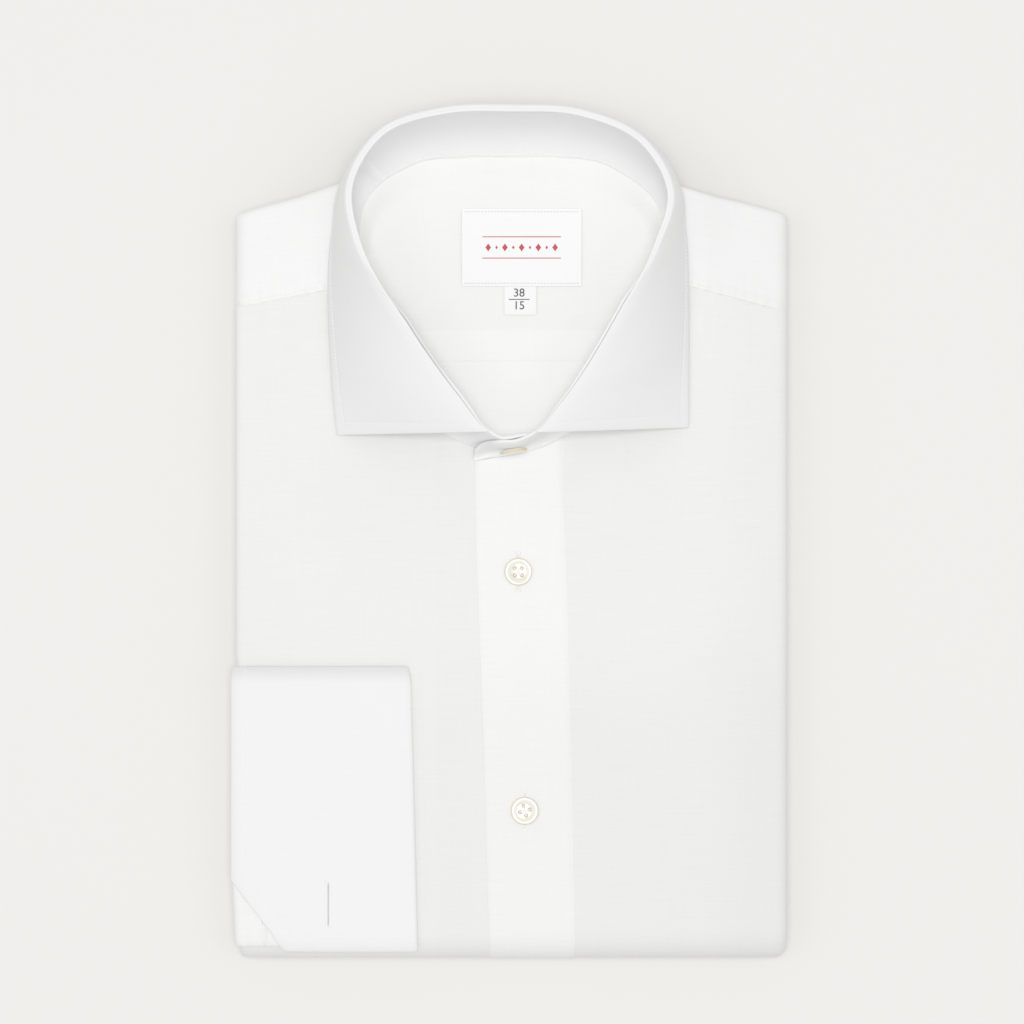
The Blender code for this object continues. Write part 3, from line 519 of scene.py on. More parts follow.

# Painted shade: the front cotton grows 3.7 % darker from x = 70 to 100 mm, towards the right side fold, where the
# light falls off.
front_cotton = cotton("front_cotton", FRONT_WHITE, bands=[PAINTED_FALLOFF, ("X", 0.070, 0.100, 1.0, 0.963)])
# Painted shade: the wearer's right front is set a little darker than the left front, and up to 2.5 % darker towards
# the bottom fold, where the light falls off.
beside_cuff = cotton("beside_cuff_cotton", BESIDE_CUFF_WHITE, bands=[
    ("Y", 0.066, 0.132, 0.975, 1.0), ("X", -0.0310, -0.0285, 1.01, 1.0)])
# Painted shade: the yoke is 5.5 % lighter up to x = 70 mm than beyond x = 82 mm, so the right end of the shoulders is
# darker, where less light falls.
yoke_cotton = cotton("yoke_cotton", YOKE_WHITE, bands=[("X", 0.0696, 0.082, 1.055, 1.0)])
# Painted light: the back grows up to 12 % lighter from y = 48 to 35 mm, at the bottom of the V, where the front of
# the collar shades it.
back_cotton = cotton("back_cotton", BACK_WHITE, streak=0.025, bands=[("Y", 0.035, 0.048, 1.12, 1.0)])
placket_cotton = cotton("placket_cotton", PLACKET_WHITE, bands=[PAINTED_FALLOFF])
# Painted light: the leaf grows up to 7 % lighter from 8 to 46 mm in from its outer edge, where it lies flatter
# towards its fold.
collar_cotton = cotton("collar_cotton", COLLAR_WHITE, streak=0.02, bands=[("Y", 0.008, 0.046, 1.0, 1.07)])
# Painted light and shade on the stand: up to 19 % lighter towards its seam, low in the shadow of the collar; all but
# its top 1 to 4 mm 4 % darker, which leaves a painted highlight on its top edge; and 18 % darker from 36-50 mm to
# 115-135 mm round from its inner end, a painted shadow inside the left side of the neck.
stand_cotton = cotton("stand_cotton", STAND_WHITE, streak=0.02, bands=[
    ("Y", -0.031, -0.010, 1.19, 1.0), ("Y", -0.0045, -0.0012, 0.96, 1.0),
    ("X", 0.036, 0.050, 1.0, 0.82), ("X", 0.115, 0.135, 1.0, 1.22)])
sleeve_cotton = cotton("sleeve_cotton", SLEEVE_WHITE)
# Painted shade: the cuff grows up to 16 % darker over the last 7 mm below its top edge, where it rolls down to the
# body.
cuff_cotton = cotton("cuff_cotton", CUFF_WHITE, streak=0.02, bands=[("Y", 0.0965, 0.1040, 1.0, 0.84)])
inside_cotton = cotton("inside_cotton", INSIDE_WHITE, streak=0.025, bands=[("Y", 0.0802, 0.0816, 1.035, 1.0)])
tape = cotton("woven_tape", TAPE_WHITE, pitch=0.00030, weave=0.25, streak=0.015, sheen=0.35)
print("cottons:", ", ".join(m.name for m in bpy.data.materials if m.name.endswith("cotton")))


def sewing_thread(name, colour):
    """Twisted sewing thread: matte, with a fine twill bump from its own slanted bands."""
    made, tree, finish = new_material(name, 0.7, 0.3, colour)
    place = tree.nodes.new("ShaderNodeTexCoord")
    twist = tree.nodes.new("ShaderNodeTexWave")
    twist.bands_direction = "DIAGONAL"
    twist.inputs["Scale"].default_value = 900.0
    link(tree, place, "Object", twist, "Vector")
    bump = tree.nodes.new("ShaderNodeBump")
    bump.inputs["Strength"].default_value = 0.4
    bump.inputs["Distance"].default_value = 0.00004
    link(tree, twist, "Fac", bump, "Height")
    link(tree, bump, "Normal", finish, "Normal")
    return made


white_thread = sewing_thread("white_thread", (0.83, 0.83, 0.82))
red_thread = sewing_thread("red_thread", (0.42, 0.02, 0.03))
label_thread = sewing_thread("label_thread", (0.55, 0.55, 0.56))
# Thread plugs in the button holes; their tan-brown colour is painted shade in the holes.
shaded_well_thread = sewing_thread("shaded_well_thread", (0.80, 0.62, 0.46))
hole_shade = new_material("hole_shade", 1.0, 0.0, (0.45, 0.45, 0.46))[0]
size_ink = new_material("size_ink", 0.8, 0.1, (0.05, 0.05, 0.055))[0]


def shell_button():
    """Polished mother of pearl under a clear coat. Its tone follows the radius: tan at the turned edge and in the
    dish, partly the shell's own colour and partly a painted dark reflection, and nearly white on the rim, a painted
    highlight;
    times slow bands of green, rose and tan."""
    made, tree, finish = new_material("mother_of_pearl", 0.22, 0.6, (0.84, 0.80, 0.68))
    finish.inputs["Coat Weight"].default_value = 0.35
    finish.inputs["Coat Roughness"].default_value = 0.06
    place = tree.nodes.new("ShaderNodeTexCoord")
    drift = noise(tree, scaled(tree, place, "Object", (230.0, 90.0, 400.0)), 3.0)
    ramp = tree.nodes.new("ShaderNodeValToRGB")
    stops = ramp.color_ramp.elements
    stops[0].position, stops[0].color = 0.25, (0.80, 0.70, 0.52, 1.0)
    stops[1].position, stops[1].color = 0.80, (0.96, 0.94, 0.90, 1.0)
    for position, colour in ((0.42, (0.90, 0.87, 0.76, 1.0)), (0.55, (0.88, 0.90, 0.84, 1.0)),
                             (0.68, (0.93, 0.87, 0.84, 1.0))):
        stops.new(position).color = colour
    link(tree, drift, 0, ramp, "Fac")
    uv = tree.nodes.new("ShaderNodeUVMap")
    uv.uv_map = "cloth"
    split = tree.nodes.new("ShaderNodeSeparateXYZ")
    link(tree, uv, "UV", split, "Vector")
    # Painted highlight and reflection by radius: nearly white on the rim for a highlight, tan at the turned edge and
    # in the dish, partly the shell's own colour and partly a painted dark reflection.
    radius = math_node(tree, "DIVIDE", (split, "X"), 0.0056)
    rings = tree.nodes.new("ShaderNodeValToRGB")
    stops = rings.color_ramp.elements
    stops[0].position, stops[0].color = 0.0, (0.84, 0.83, 0.80, 1.0)
    stops[1].position, stops[1].color = 1.0, (0.66, 0.54, 0.37, 1.0)
    for position, colour in ((0.22, (0.76, 0.70, 0.60, 1.0)), (0.42, (0.72, 0.67, 0.56, 1.0)),
                             (0.58, (0.76, 0.73, 0.64, 1.0)), (0.68, (0.94, 0.94, 0.93, 1.0)),
                             (0.88, (0.95, 0.95, 0.93, 1.0)), (0.955, (0.74, 0.60, 0.41, 1.0))):
        stops.new(position).color = colour
    link(tree, radius, 0, rings, "Fac")
    blend = tree.nodes.new("ShaderNodeVectorMath")
    blend.operation = "MULTIPLY"
    link(tree, ramp, "Color", blend, "Vector")
    tree.links.new(rings.outputs["Color"], blend.inputs[1])
    link(tree, blend, "Vector", finish, "Base Color")
    return made


pearl = shell_button()

# %% [markdown]
# ## Dressing a sheet
#
# Every piece is finished the same way: it gets its material, rides on the body and stands for its solid.


def finish_piece(made, material, nodes=()):
    """Gives a piece its material, its body and the solids it stands for."""
    made.data.materials.append(material)
    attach(made, "root")
    if nodes:
        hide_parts(*nodes)
    return made


# %% [markdown]
# ## The two fronts
#
# Each front starts at the neckline and the yoke seam, runs down the package, round the bottom fold and back up
# underneath to the hem, and turns under at its side. It could be draped by a simulation, but pressed cloth is ruled
# by its folds, so a grid over the cloth with listed relief is closer and always the same. Under the placket the
# wearer's right front is pressed down by the two layers above it, and beside the cuff the cloth dips.

# %% Fronts
def placket_edges(along):
    """Left and right edge of the placket at distances along the front."""
    y = on_front(along)
    return line_table(PLACKET, y, 1), line_table(PLACKET, y, 2)


def yoke_seam_y(across):
    """Height y of the yoke seam across the body."""
    return line_table(YOKE_SEAM, np.clip(across, -HALF_WIDTH, HALF_WIDTH))


def cuff_press(x, y):
    """Hollow along the cuff's top edge and its turned fold."""
    top = bell(y - CUFF_TOP_Y - 0.9, 1.3) * ease(-x, 35.0, 42.0)
    fold_x = CUFF_FOLD_TOP + (CUFF_FOLD_END - CUFF_FOLD_TOP) * (CUFF_TOP_Y - y) / (CUFF_TOP_Y - AXIS_Y)
    side = bell(x - fold_x - 2.0, 1.4) * ease(-y, -CUFF_TOP_Y - 1.0, -CUFF_TOP_Y + 3.0)
    return -0.75 * np.maximum(top, side)


def front_relief(x, y, along, seam_away):
    """Lift of a front above the plain body: swell, folds, the press of the cuff and the puckers at the yoke seam,
    all fading out at the side folds, round the bottom fold and underneath."""
    open_front = ease(along, 0.0, 25.0) * (1 - ease(np.abs(x), FLAT - 6.0, FLAT))
    relief = pressed(x, y) + fold_lines(FRONT_FOLDS, x, y)
    relief = relief + seam_pucker(x, seam_away, 6.5, 7.0, 0.26)
    return relief * open_front + cuff_press(x, y) * ease(along, -2.0, 6.0)


def tail_relief(x, along):
    """Underneath, the same cloth lies on what it rests on, so its folds only press inwards."""
    y = AXIS_Y - along - math.pi * FOLD
    inside = ease(-along, math.pi * FOLD + 4.0, math.pi * FOLD + 24.0) * (1 - ease(np.abs(x), FLAT - 8.0, FLAT))
    low = np.minimum(fold_lines(TAIL_FOLDS, x, y), 0.0)
    return low * inside


def path(top, end_y, front_rows, fold_rows, under_rows):
    """Distances along the cloth from a height on the front, round the bottom fold, to one underneath."""
    down = np.linspace(top - AXIS_Y, 0.0, front_rows)
    fold = np.linspace(0.0, -math.pi * FOLD, fold_rows)[1:]
    back = -math.pi * FOLD - np.linspace(0.0, end_y - AXIS_Y, under_rows)[1:]
    return np.concatenate([down, fold, back])


def front_cloth(name, node, side, material):
    """One front, side -1 or 1: columns across it, packed at the placket and round the side fold, times rows down it.
    Lift = relief - sink below the placket's edge - tuck below the yoke."""
    turned = FLAT + np.linspace(0.0, 1.0, 15)[1:] * math.pi * SIDE
    reach = np.concatenate([np.linspace(26.0, FLAT, 48), turned, SIDE_END + np.linspace(0.0, TURN, 9)[1:]])
    if side > 0:
        across = np.concatenate([[17.0, 18.2, 19.4, 20.6, 21.8, 23.0, 24.4], reach])
    else:
        near = [-24.0, -21.5, -19.0, -17.0, -15.6, -14.6, -14.0, -13.4, -12.4, -10.0, -6.0, 0.0, 6.0, 12.0, 17.0]
        across = np.concatenate([-reach[::-1], near])
    yoke_side = np.abs(across) > 60.2
    top = np.where(yoke_side, yoke_seam_y(across) + 3.0, line_table(FRONT_NECK, across))
    rows = path(0.0, HEM_Y, 150, 17, 90)
    share = np.clip(rows / rows[0], 0.0, 1.0)[:, None]
    along = np.where(rows[:, None] > 0, share * (top - AXIS_Y)[None, :], rows[:, None])
    left, right = placket_edges(along)
    x = np.broadcast_to(across, along.shape).copy()
    if side > 0:
        lean = 1 - ease(x, 24.0, 44.0)
        x = x + (right - 20.6) * lean
        sink = 1.15 * (1 - ease(x, right - 1.7, right + 0.3))
    else:
        lean = ease(x, -44.0, -24.0)
        x = x + (left + 13.2) * lean
        sink = (RECESS + 0.15) * ease(x, left - 0.5, left + 0.8)
    y = on_front(along)
    seam_away = np.where(np.abs(x) > 56.0, yoke_seam_y(x) - y, 99.0)
    tuck = 1.30 * (1 - ease(seam_away, -2.2, 0.1)) - 0.25 * bell(seam_away - 0.6, 1.2)
    lift = front_relief(x, y, along, seam_away) + tail_relief(x, along) - sink - tuck
    lift = np.where(along < -math.pi * FOLD + 1.0, np.minimum(lift, 0.0), lift)
    face, back = body(x, along, lift), body(x, along, lift - WALL)
    made = finish_piece(shell(name, face, back, cloth_grid(x, along)), material, [node])
    return made


front_cloth("front_right_cloth", "front_right", -1, beside_cuff)
front_cloth("front_left_cloth", "front_left", 1, front_cotton)

# %% [markdown]
# ## The placket
#
# The free edge of the wearer's left front is folded under twice, so this strip is doubled: it stands a little higher,
# looks whiter, and its two edges are pressed thin. It could share the front's mesh, but as a piece of its own its
# layer really lies over the front below and its edge casts the fine dark line beside it. The buttonholes are cut into
# the same grid: rows and columns crowd round each slit, which sinks between its two stitched lips.

# %% Placket
HOLE_HALF = 6.9  # half the length of a front buttonhole


def crowd(values, spots):
    """Values of one axis with extra ones at chosen spots, in order and none closer than 0.08 mm."""
    merged = np.unique(np.round(np.concatenate([values, *spots]), 3))
    keep = np.concatenate([[True], np.diff(merged) > 0.08])
    return merged[keep]


def through(low, high, spot, before, after):
    """Columns between two edges, one row for each row of them, packed at both edges and close beside a spot."""
    near = np.array([0.0, 0.015, 0.035, 0.065])
    left = np.concatenate([near, np.linspace(0.1, 1.0, before)])
    right = np.concatenate([np.linspace(0.0, 0.9, after), 1 - near[::-1]])
    beside = np.array([-1.4, -0.9, -0.5, -0.28, -0.2, 0.2, 0.28, 0.5, 0.9, 1.4])
    low, high, spot = (np.broadcast_to(v, np.shape(spot))[:, None] for v in (low, high, spot))
    first = low + (spot - 2.0 - low) * left
    last = spot + 2.0 + (high - spot - 2.0) * right
    return np.concatenate([first, spot + beside, last], axis=1)


def slit(x, y, x0, y0, y1, depth, half=0.24):
    """A cut that sinks by depth between y0 and y1: a narrow trough across, square at its ends, between soft lips."""
    run = ease(y, y0 - 0.2, y0 + 0.5) * (1 - ease(y, y1 - 0.5, y1 + 0.2))
    lips = 0.22 * (bell(np.abs(x - x0) - 0.75, 0.5)) * ease(y, y0 - 1.0, y0) * (1 - ease(y, y1, y1 + 1.0))
    return lips - depth * run * (np.abs(x - x0) < half)


def placket_cloth():
    """The strip with its two buttonholes. Lift = its own height + wave + ridge beside the edge - thin edges + the
    slits with their lips."""
    (high_x, high_y), (low_x, _) = FRONT_BUTTONS
    down = path(30.0, HEM_Y, 110, 17, 90)
    spots = []
    for _, centre_y in FRONT_BUTTONS:
        middle = centre_y - AXIS_Y
        spots += [middle + s * (HOLE_HALF + np.array([-0.5, -0.2, 0.0, 0.3, 0.8])) for s in (-1, 1)]
        spots.append(middle + np.arange(-HOLE_HALF - 2, HOLE_HALF + 2, 0.8))
    rows = crowd(down, spots)[::-1]
    left, right = placket_edges(rows)
    spot = np.interp(rows + AXIS_Y, [-118.0, -98.0, -26.0, -4.0], [low_x, low_x, high_x, high_x])
    x = through(left, right, spot, 16, 14)
    along = np.repeat(rows[:, None], x.shape[1], axis=1)
    top = np.interp(x[0], [-14.4, -4.5, 3.0, 12.4, 20.5], [29.2, 30.8, 32.0, 34.7, 38.6]) - AXIS_Y
    along = np.where(along > 0, along * (top / rows[0])[None, :], along)
    y = on_front(along)
    front = ease(along, -math.pi * FOLD, 0.0)
    thin = 0.32 * (1 - ease(x - left[:, None], 0.0, 1.0)) + 0.42 * ease(x - right[:, None], -1.6, 0.0)
    wave = (pressed(x, y) + fold_lines(FRONT_FOLDS, x, y) * 0.5) * ease(along, 0.0, 25.0)
    ridge = 0.10 * bell(x - right[:, None] + 2.4, 1.0) * front
    lift = PLACKET_LIFT * front + wave + ridge - thin
    for centre_x, centre_y in FRONT_BUTTONS:
        lift = lift + slit(x, y, centre_x, centre_y - HOLE_HALF, centre_y + HOLE_HALF, 0.45) * (along > 0)
    lift = lift - 0.10 * bell(np.hypot(x - high_x, (y - high_y) * 0.8) - 7.0, 2.0) * (along > 0)
    face = body(x, along, lift)
    back = body(x, along, np.minimum(lift - 0.25, -RECESS + GAP + wave * 0.6))
    made = finish_piece(shell("placket_cloth", face, back, cloth_grid(x, along), 0.6), placket_cotton, ["placket"])
    return made


placket_cloth()

# %% [markdown]
# ## The yoke
#
# The yoke lies over both shoulders. It starts on top of the fronts with a folded, stitched edge, rolls over the
# shoulder line and goes a little way back underneath, and at each end it closes like a flattened tube. So its grid
# runs from the front seam round the shoulder, and its cross section gets thin towards both ends.

# %% Yoke
def yoke_faces(wall):
    """One face of the yoke, wall inside the outer one. Rows go from the front seam, round the shoulder fold and
    back; at each end the section closes on a quarter circle."""
    turn = np.radians(np.linspace(90.0, 0.0, 13))
    middle = np.concatenate([np.linspace(-FLAT + 0.7, -61.5, 66), np.linspace(-60.6, 60.6, 62),
                             np.linspace(61.5, FLAT - 0.7, 66)])
    side = FLAT + (SIDE - wall) * np.sin(turn)
    x = np.concatenate([-side, middle, side[::-1]])
    thin = np.concatenate([np.cos(turn), np.ones(len(middle)), np.cos(turn[::-1])])
    low = THICK - 2 * SIDE
    top = THICK - 3.4 * (1 - ease(np.abs(x), 40.0, 58.0))
    radius = (top - low) / 2
    bend = (radius - wall) * thin
    centre = low + radius
    seam = yoke_seam_y(x) - 0.2
    ridge = line_table(SHOULDERS, np.clip(x, -HALF_WIDTH, HALF_WIDTH)) - wall
    ridge = ridge + 0.25 * np.sin(x / 6.0 + 1.0) * np.sin(x / 15.0)
    flat_end = ridge - bend
    start = np.where(np.abs(x) < 60.9, line_table(BACK_NECK, x), seam)
    start = np.minimum(start, flat_end + bend * 0.35)
    under = np.where(np.abs(x) > FLAT + 0.1, start + (ridge - 24.0 - start) * thin**2,
                     np.minimum(flat_end - 4.0, ridge - 24.0))
    first = np.arcsin(np.clip((start - flat_end) / np.maximum(bend, 0.01), 0.0, 0.9))
    rows = []
    for t in np.concatenate([[0.0, 0.01], np.linspace(0.025, 0.16, 8), np.linspace(0.19, 1.0, 20)]):
        y = start + (np.maximum(flat_end, start) - start) * t
        away = y - seam
        lift = 0.62 * (1 - ease(away, 0.0, 4.5)) + 0.12 * bell(away - 2.2, 0.8) - 0.22 * bell(away - 1.5, 0.45)
        lift = lift + seam_pucker(x, away - 1.5, 5.0, 4.0, 0.20) + seam_pucker(x + 3.0, away - 0.8, 2.1, 1.4, 0.16)
        wave = 0.25 * np.sin(x / 13.0 + y / 9.0) * np.sin(y / 17.0 + 0.6) + fold_lines(YOKE_FOLDS, x, y)
        beside = ease(np.abs(x), 61.5, 64.0) * thin**2
        rows.append(np.stack([x, y, centre + bend + (lift + wave * (1 - t**4)) * beside], axis=-1))
    for k in np.arange(1, 21) / 20:
        sine, cosine = squared(first + (math.pi - first) * k, np.where(x < 0, 3.6, 5.0))
        rows.append(np.stack([x, flat_end + bend * sine, centre + bend * cosine], axis=-1))
    for t in np.linspace(0.0, 1.0, 16)[1:]:
        rows.append(np.stack([x, flat_end + (under - flat_end) * t, centre - bend], axis=-1))
    return np.array(rows)


YOKE_FOLDS = (
    # x0, y0, x1, y1, bow, width, height
    (-106.0, 94.5, -66.0, 107.0, 1.5, 1.6, 0.34),
    (-98.0, 99.0, -70.0, 112.0, 1.0, 2.4, -0.30),
    (-78.0, 99.0, -77.0, 112.0, 0.6, 1.0, 0.42),
    (-75.0, 99.0, -74.0, 108.0, -0.4, 0.9, -0.40),
    (-72.0, 100.0, -70.0, 113.0, 0.3, 1.1, 0.35),
    (-104.0, 118.0, -72.0, 127.0, -1.0, 3.5, -0.22),
    (72.0, 120.0, 100.0, 116.0, 1.0, 3.0, 0.20),
    (74.0, 103.0, 84.0, 112.0, 0.6, 1.8, 0.24),
    (88.0, 98.0, 100.0, 108.0, -0.6, 2.6, -0.20),
)
yoke_outer, yoke_inner = yoke_faces(0.0), yoke_faces(0.75)
along_yoke = np.cumsum(np.linalg.norm(np.diff(yoke_outer, axis=0, prepend=yoke_outer[:1]), axis=2), axis=0)
yoke_cloth = shell("yoke_cloth", yoke_outer, yoke_inner, cloth_grid(yoke_outer[..., 0], along_yoke + 90.0), 0.7)
finish_piece(yoke_cloth, yoke_cotton, ["yoke"])

# %% [markdown]
# ## The collar
#
# A collar is a stand and a leaf. The stand circles the neck and its wearer's left end laps over the other end at the
# front, where it buttons. The leaf is sewn along the stand's top edge, rolls over it and falls outside to two points.
# Both are worked out from one table of stations round the neck, so they keep clear of each other everywhere: a
# simulation would have to settle them, while a fused collar in fact holds exactly the shape it was pressed to.

# %% Stand
def collar_at(station):
    """Fold and seam points at stations of the collar table, counted from 1 and spaced by the fold's length."""
    steps = np.linalg.norm(np.diff(COLLAR[:, :3], axis=0), axis=1)
    place = np.concatenate([[0.0], np.cumsum(steps)])
    where = np.interp(station, np.arange(1, len(COLLAR) + 1), place)
    return smooth_table(np.column_stack([place, COLLAR]), where)


def outward(points):
    """Level unit vectors square to a curve seen from above, to its outer side."""
    run = unit(np.gradient(points[:, :2], axis=0))
    return np.stack([-run[:, 1], run[:, 0], np.zeros(len(run))], axis=1)


FINE = np.linspace(1.0, len(COLLAR), 600)
FINE_OUT = outward(collar_at(FINE)[:, :3])


def out_at(station):
    """Outward vectors at stations, read from a fine run of them and made unit length again."""
    return unit(np.stack([np.interp(station, FINE, FINE_OUT[:, k]) for k in range(3)], axis=1))


ROLL_IN, ROLL_DOWN = 1.0, 1.2  # heart of the leaf's roll: inside the fold line, and below it
ROLL = COLLAR_WALL + GAP + 0.3  # radius of the roll
STAND_RISE = 0.9  # more height of the stand's edge where it shows in front
STAND_INSET = (  # stations, and how far the stand's top edge shows inside the roll of the leaf there
    [1.0, 2.0, 3.0, 3.5, 4.9, 5.3, 14.3, 14.8, 15.6, 16.1, 16.7, 17.2, 18.0, 19.0, 20.0, 21.0],
    [0.5, 0.5, 0.9, 2.0, 2.1, 0.0, 0.0, 1.75, 1.65, 1.2, 0.85, 0.7, 0.65, 0.6, 0.3, 0.0],
)


def stand_grid(station, levels):
    """Middle face of the stand: rows straight from its top edge to its seam, plus outward * (three bows of the
    height, each a hump with its peak at a half, a quarter or four fifths of it, less the creases where it turns)."""
    both = collar_at(station)
    fold, seam = both[:, :3], both[:, 3:6].copy()
    out = outward(fold)
    inset = np.interp(station, *STAND_INSET)
    top = fold - out * (ROLL_IN + inset)[:, None]
    top[:, 2] -= ROLL_DOWN - STAND_RISE * np.clip((inset - 1.2) / 0.55, 0.0, 1.0)
    seam[:, 2] += 0.4
    share = levels[:, None, None]
    bow = -1.6 * (1 - ease(seam[:, 1], 60.0, 100.0)) + 2.3 * ease(seam[:, 1], 110.0, 142.0)
    bow = bow * np.interp(station, [2.2, 4.2, 16.0, 17.0], [0.0, 1.0, 1.0, 0.0]) + 1.1 * bell(station - 3.0, 0.5)
    low_bow = np.interp(station, [1.0, 2.2, 2.9, 16.2, 17.2, 19.0, 21.0], [-1.25, -1.1, 0.0, 0.0, -1.25, -1.25, -0.5])
    crease = 0.8 * bell(station - 7.42, 0.045) - 0.6 * bell(station - 7.53, 0.05) - 0.35 * bell(station - 12.6, 0.08)
    rows = top[None] + (seam - top)[None] * share
    arch = 4 * share * (1 - share)
    low_arch = share**4 * (1 - share) / (0.8**4 * 0.2)
    high_arch = share * (1 - share) ** 3 / 0.10547
    high_bow = np.interp(station, [17.2, 17.8, 18.8, 19.4], [0.0, 0.8, 0.8, 0.0])
    return rows + out[None] * (bow[None, :, None] * arch + low_bow[None, :, None] * low_arch
                               + high_bow[None, :, None] * high_arch
                               - crease[None, :, None] * arch**0.5)


stand_station = np.concatenate([np.linspace(1.0, 7.2, 130), np.linspace(7.2, 7.8, 40)[1:],
                                np.linspace(7.8, 12.3, 90)[1:], np.linspace(12.3, 21.0, 180)[1:]])
stand_levels = np.linspace(0.0, 1.0, 26)
stand_middle = stand_grid(stand_station, stand_levels)
stand_outer, stand_inner = thicken(stand_middle, COLLAR_WALL)
stand_run = np.concatenate([[0.0], np.cumsum(np.linalg.norm(np.diff(stand_middle[12], axis=0), axis=1))])
stand_cloth = shell("collar_stand_cloth", stand_outer, stand_inner,
                    cloth_grid(stand_run[None, :], -stand_levels[:, None] * 32.0))
finish_piece(stand_cloth, stand_cotton, ["collar_stand"])


# %% Leaf
LEAST_FALL = math.radians(5.0)  # of the leaf where it leaves its roll
STEEP_FROM, STEEP_SPAN = 0.9, 0.5  # radians of fall at which the leaf starts to hang, and to full hanging
FRONT_BELLY = 2.2  # more bow in the long front half of the leaf
EDGE_BELLY = 0.15  # share of the bow left at the two front edges
SOFT_MOST, SOFT_RUN = 0.367, 6.0  # softer start of the fall: most radians of it, and the length it takes


def leaf_grid(station, levels):
    """Middle face of the leaf: a roll of small radius over the stand's top edge, then a run to the outer edge.
    Run = straight line + raised * (belly * 4 t (1 - t) + near_fold), where near_fold eases it off its roll."""
    edge = smooth_table(LEAF, station)
    fold, out = collar_at(station)[:, :3], out_at(station)
    inset = np.interp(station, *STAND_INSET)
    heart = fold - out * (ROLL_IN + 0.2 * inset)[:, None]
    heart[:, 2] -= ROLL_DOWN
    chord = edge - heart
    reach = np.linalg.norm(chord, axis=1)
    drop = np.arctan2(-chord[:, 2], np.linalg.norm(chord[:, :2], axis=1))
    steep = np.clip((drop - STEEP_FROM) / STEEP_SPAN, 0.0, 1.0)
    belly = (BELLY + FRONT_BELLY * (1 - ease(edge[:, 1], 60.0, 130.0))) * (1 - 0.65 * steep)
    ends = [LEAF_START, LEAF_START + 1.3, LEAF_END - 1.2, LEAF_END]
    belly *= np.interp(station, ends, [EDGE_BELLY, 1.0, 1.0, EDGE_BELLY])
    first = drop - 4 * belly / reach
    soft = 3 * np.clip(first - LEAST_FALL, 0.0, SOFT_MOST) * (1 - steep)
    last = np.clip(first - soft / 3, LEAST_FALL, math.pi / 2)
    mix = steep[:, None]
    way = unit(unit(chord * np.array([1.0, 1.0, 0.0])) * (1 - mix) + out * mix)
    up = np.array([0.0, 0.0, 1.0])
    start_turn = START + np.radians(4.0 * inset / 1.75 + 17.0 * np.maximum(inset - 1.75, 0.0))
    dip = np.interp(station, [5.0, 5.5, 14.1, 14.6], [0.0, 1.0, 1.0, 0.0])[:, None]
    rows = []
    for t in np.linspace(0.0, 1.0, 28):
        angle = (-start_turn + (last + start_turn) * t)[:, None]
        radius = ROLL - dip * (0.34 * bell(angle - 0.32, 0.15) - 0.06 * bell(angle - 0.75, 0.2))
        rows.append(heart + radius * (way * np.sin(angle) + up * np.cos(angle)))
    start = rows[-1]
    raised = np.cross(np.cross(edge - start, up[None]), edge - start)
    size = np.linalg.norm(raised, axis=1)[:, None]
    raised = np.where(size > 1e-6, raised / np.maximum(size, 1e-6), 0.0)
    raised = raised * (1 - mix) + out * mix
    for t in levels:
        near_fold = soft * (1 - np.clip(1 - t * reach / SOFT_RUN, 0.0, 1.0) ** 2) * (1 - t)
        rows.append(start + (edge - start) * t + raised * (belly * 4 * t * (1 - t) + near_fold)[:, None])
    return np.array(rows)


LEAF_SIDE_STITCH = 3.6  # leaf's outer edge to its stitch line
LEAF_FRONT_STITCH = 4.1  # front edge to its stitch line
leaf_station = np.concatenate([np.linspace(LEAF_START, 5.6, 60), np.linspace(5.6, 14.4, 180)[1:],
                               np.linspace(14.4, LEAF_END, 56)[1:]])
leaf_levels = np.concatenate([np.linspace(0.0, 0.8, 34)[1:], np.linspace(0.8, 1.0, 22)[1:]])
leaf_middle = leaf_grid(leaf_station, leaf_levels)


def distance_from_end(grid, axis, last):
    """Length over the grid from each point to its first or last row (axis 0) or column (axis 1)."""
    step = np.linalg.norm(np.diff(grid, axis=axis), axis=2)
    zero = np.zeros_like(np.take(step, [0], axis=axis))
    if last:
        return np.flip(np.concatenate([zero, np.cumsum(np.flip(step, axis), axis=axis)], axis=axis), axis)
    return np.concatenate([zero, np.cumsum(step, axis=axis)], axis=axis)


leaf_to_edge = distance_from_end(leaf_middle, 0, True)
leaf_to_front = np.minimum(distance_from_end(leaf_middle, 1, False), distance_from_end(leaf_middle, 1, True))
leaf_outer, leaf_inner = thicken(leaf_middle, COLLAR_WALL)
if (leaf_outer - leaf_inner)[30, 30, 2] < 0:
    leaf_outer, leaf_inner = leaf_inner, leaf_outer
leaf_square = unit(leaf_outer - leaf_inner)
groove = 0.16 * bell(leaf_to_edge - LEAF_SIDE_STITCH, 0.55) * (leaf_to_front > LEAF_FRONT_STITCH - 0.5)
groove = np.maximum(groove, 0.16 * bell(leaf_to_front - LEAF_FRONT_STITCH, 0.55) * (leaf_to_edge > 2.2))
puff = 0.10 * bell(leaf_to_edge - 1.3, 0.9) + 0.08 * bell(leaf_to_front - 1.8, 1.2)
leaf_outer = leaf_outer + (puff - groove)[..., None] * leaf_square
leaf_run = distance_from_end(leaf_middle[34:35], 1, False)[0]
leaf_cloth = shell("collar_leaf_cloth", leaf_outer, leaf_inner,
                   cloth_grid(leaf_run[None, :], leaf_to_edge[:, 150:151]))
finish_piece(leaf_cloth, collar_cotton, ["collar_leaf"])

# %% [markdown]
# ## Inside the neck
#
# Between the stand's walls lie the yoke lining and, below its straight seam, the back. Single cotton lets a little of
# what is under it through, so the strip just above that seam, where the seam allowance makes three layers, is whiter.
# The strip could be a sheet of its own below the lining, but nothing of its edges shows, so it is a band in the tone.

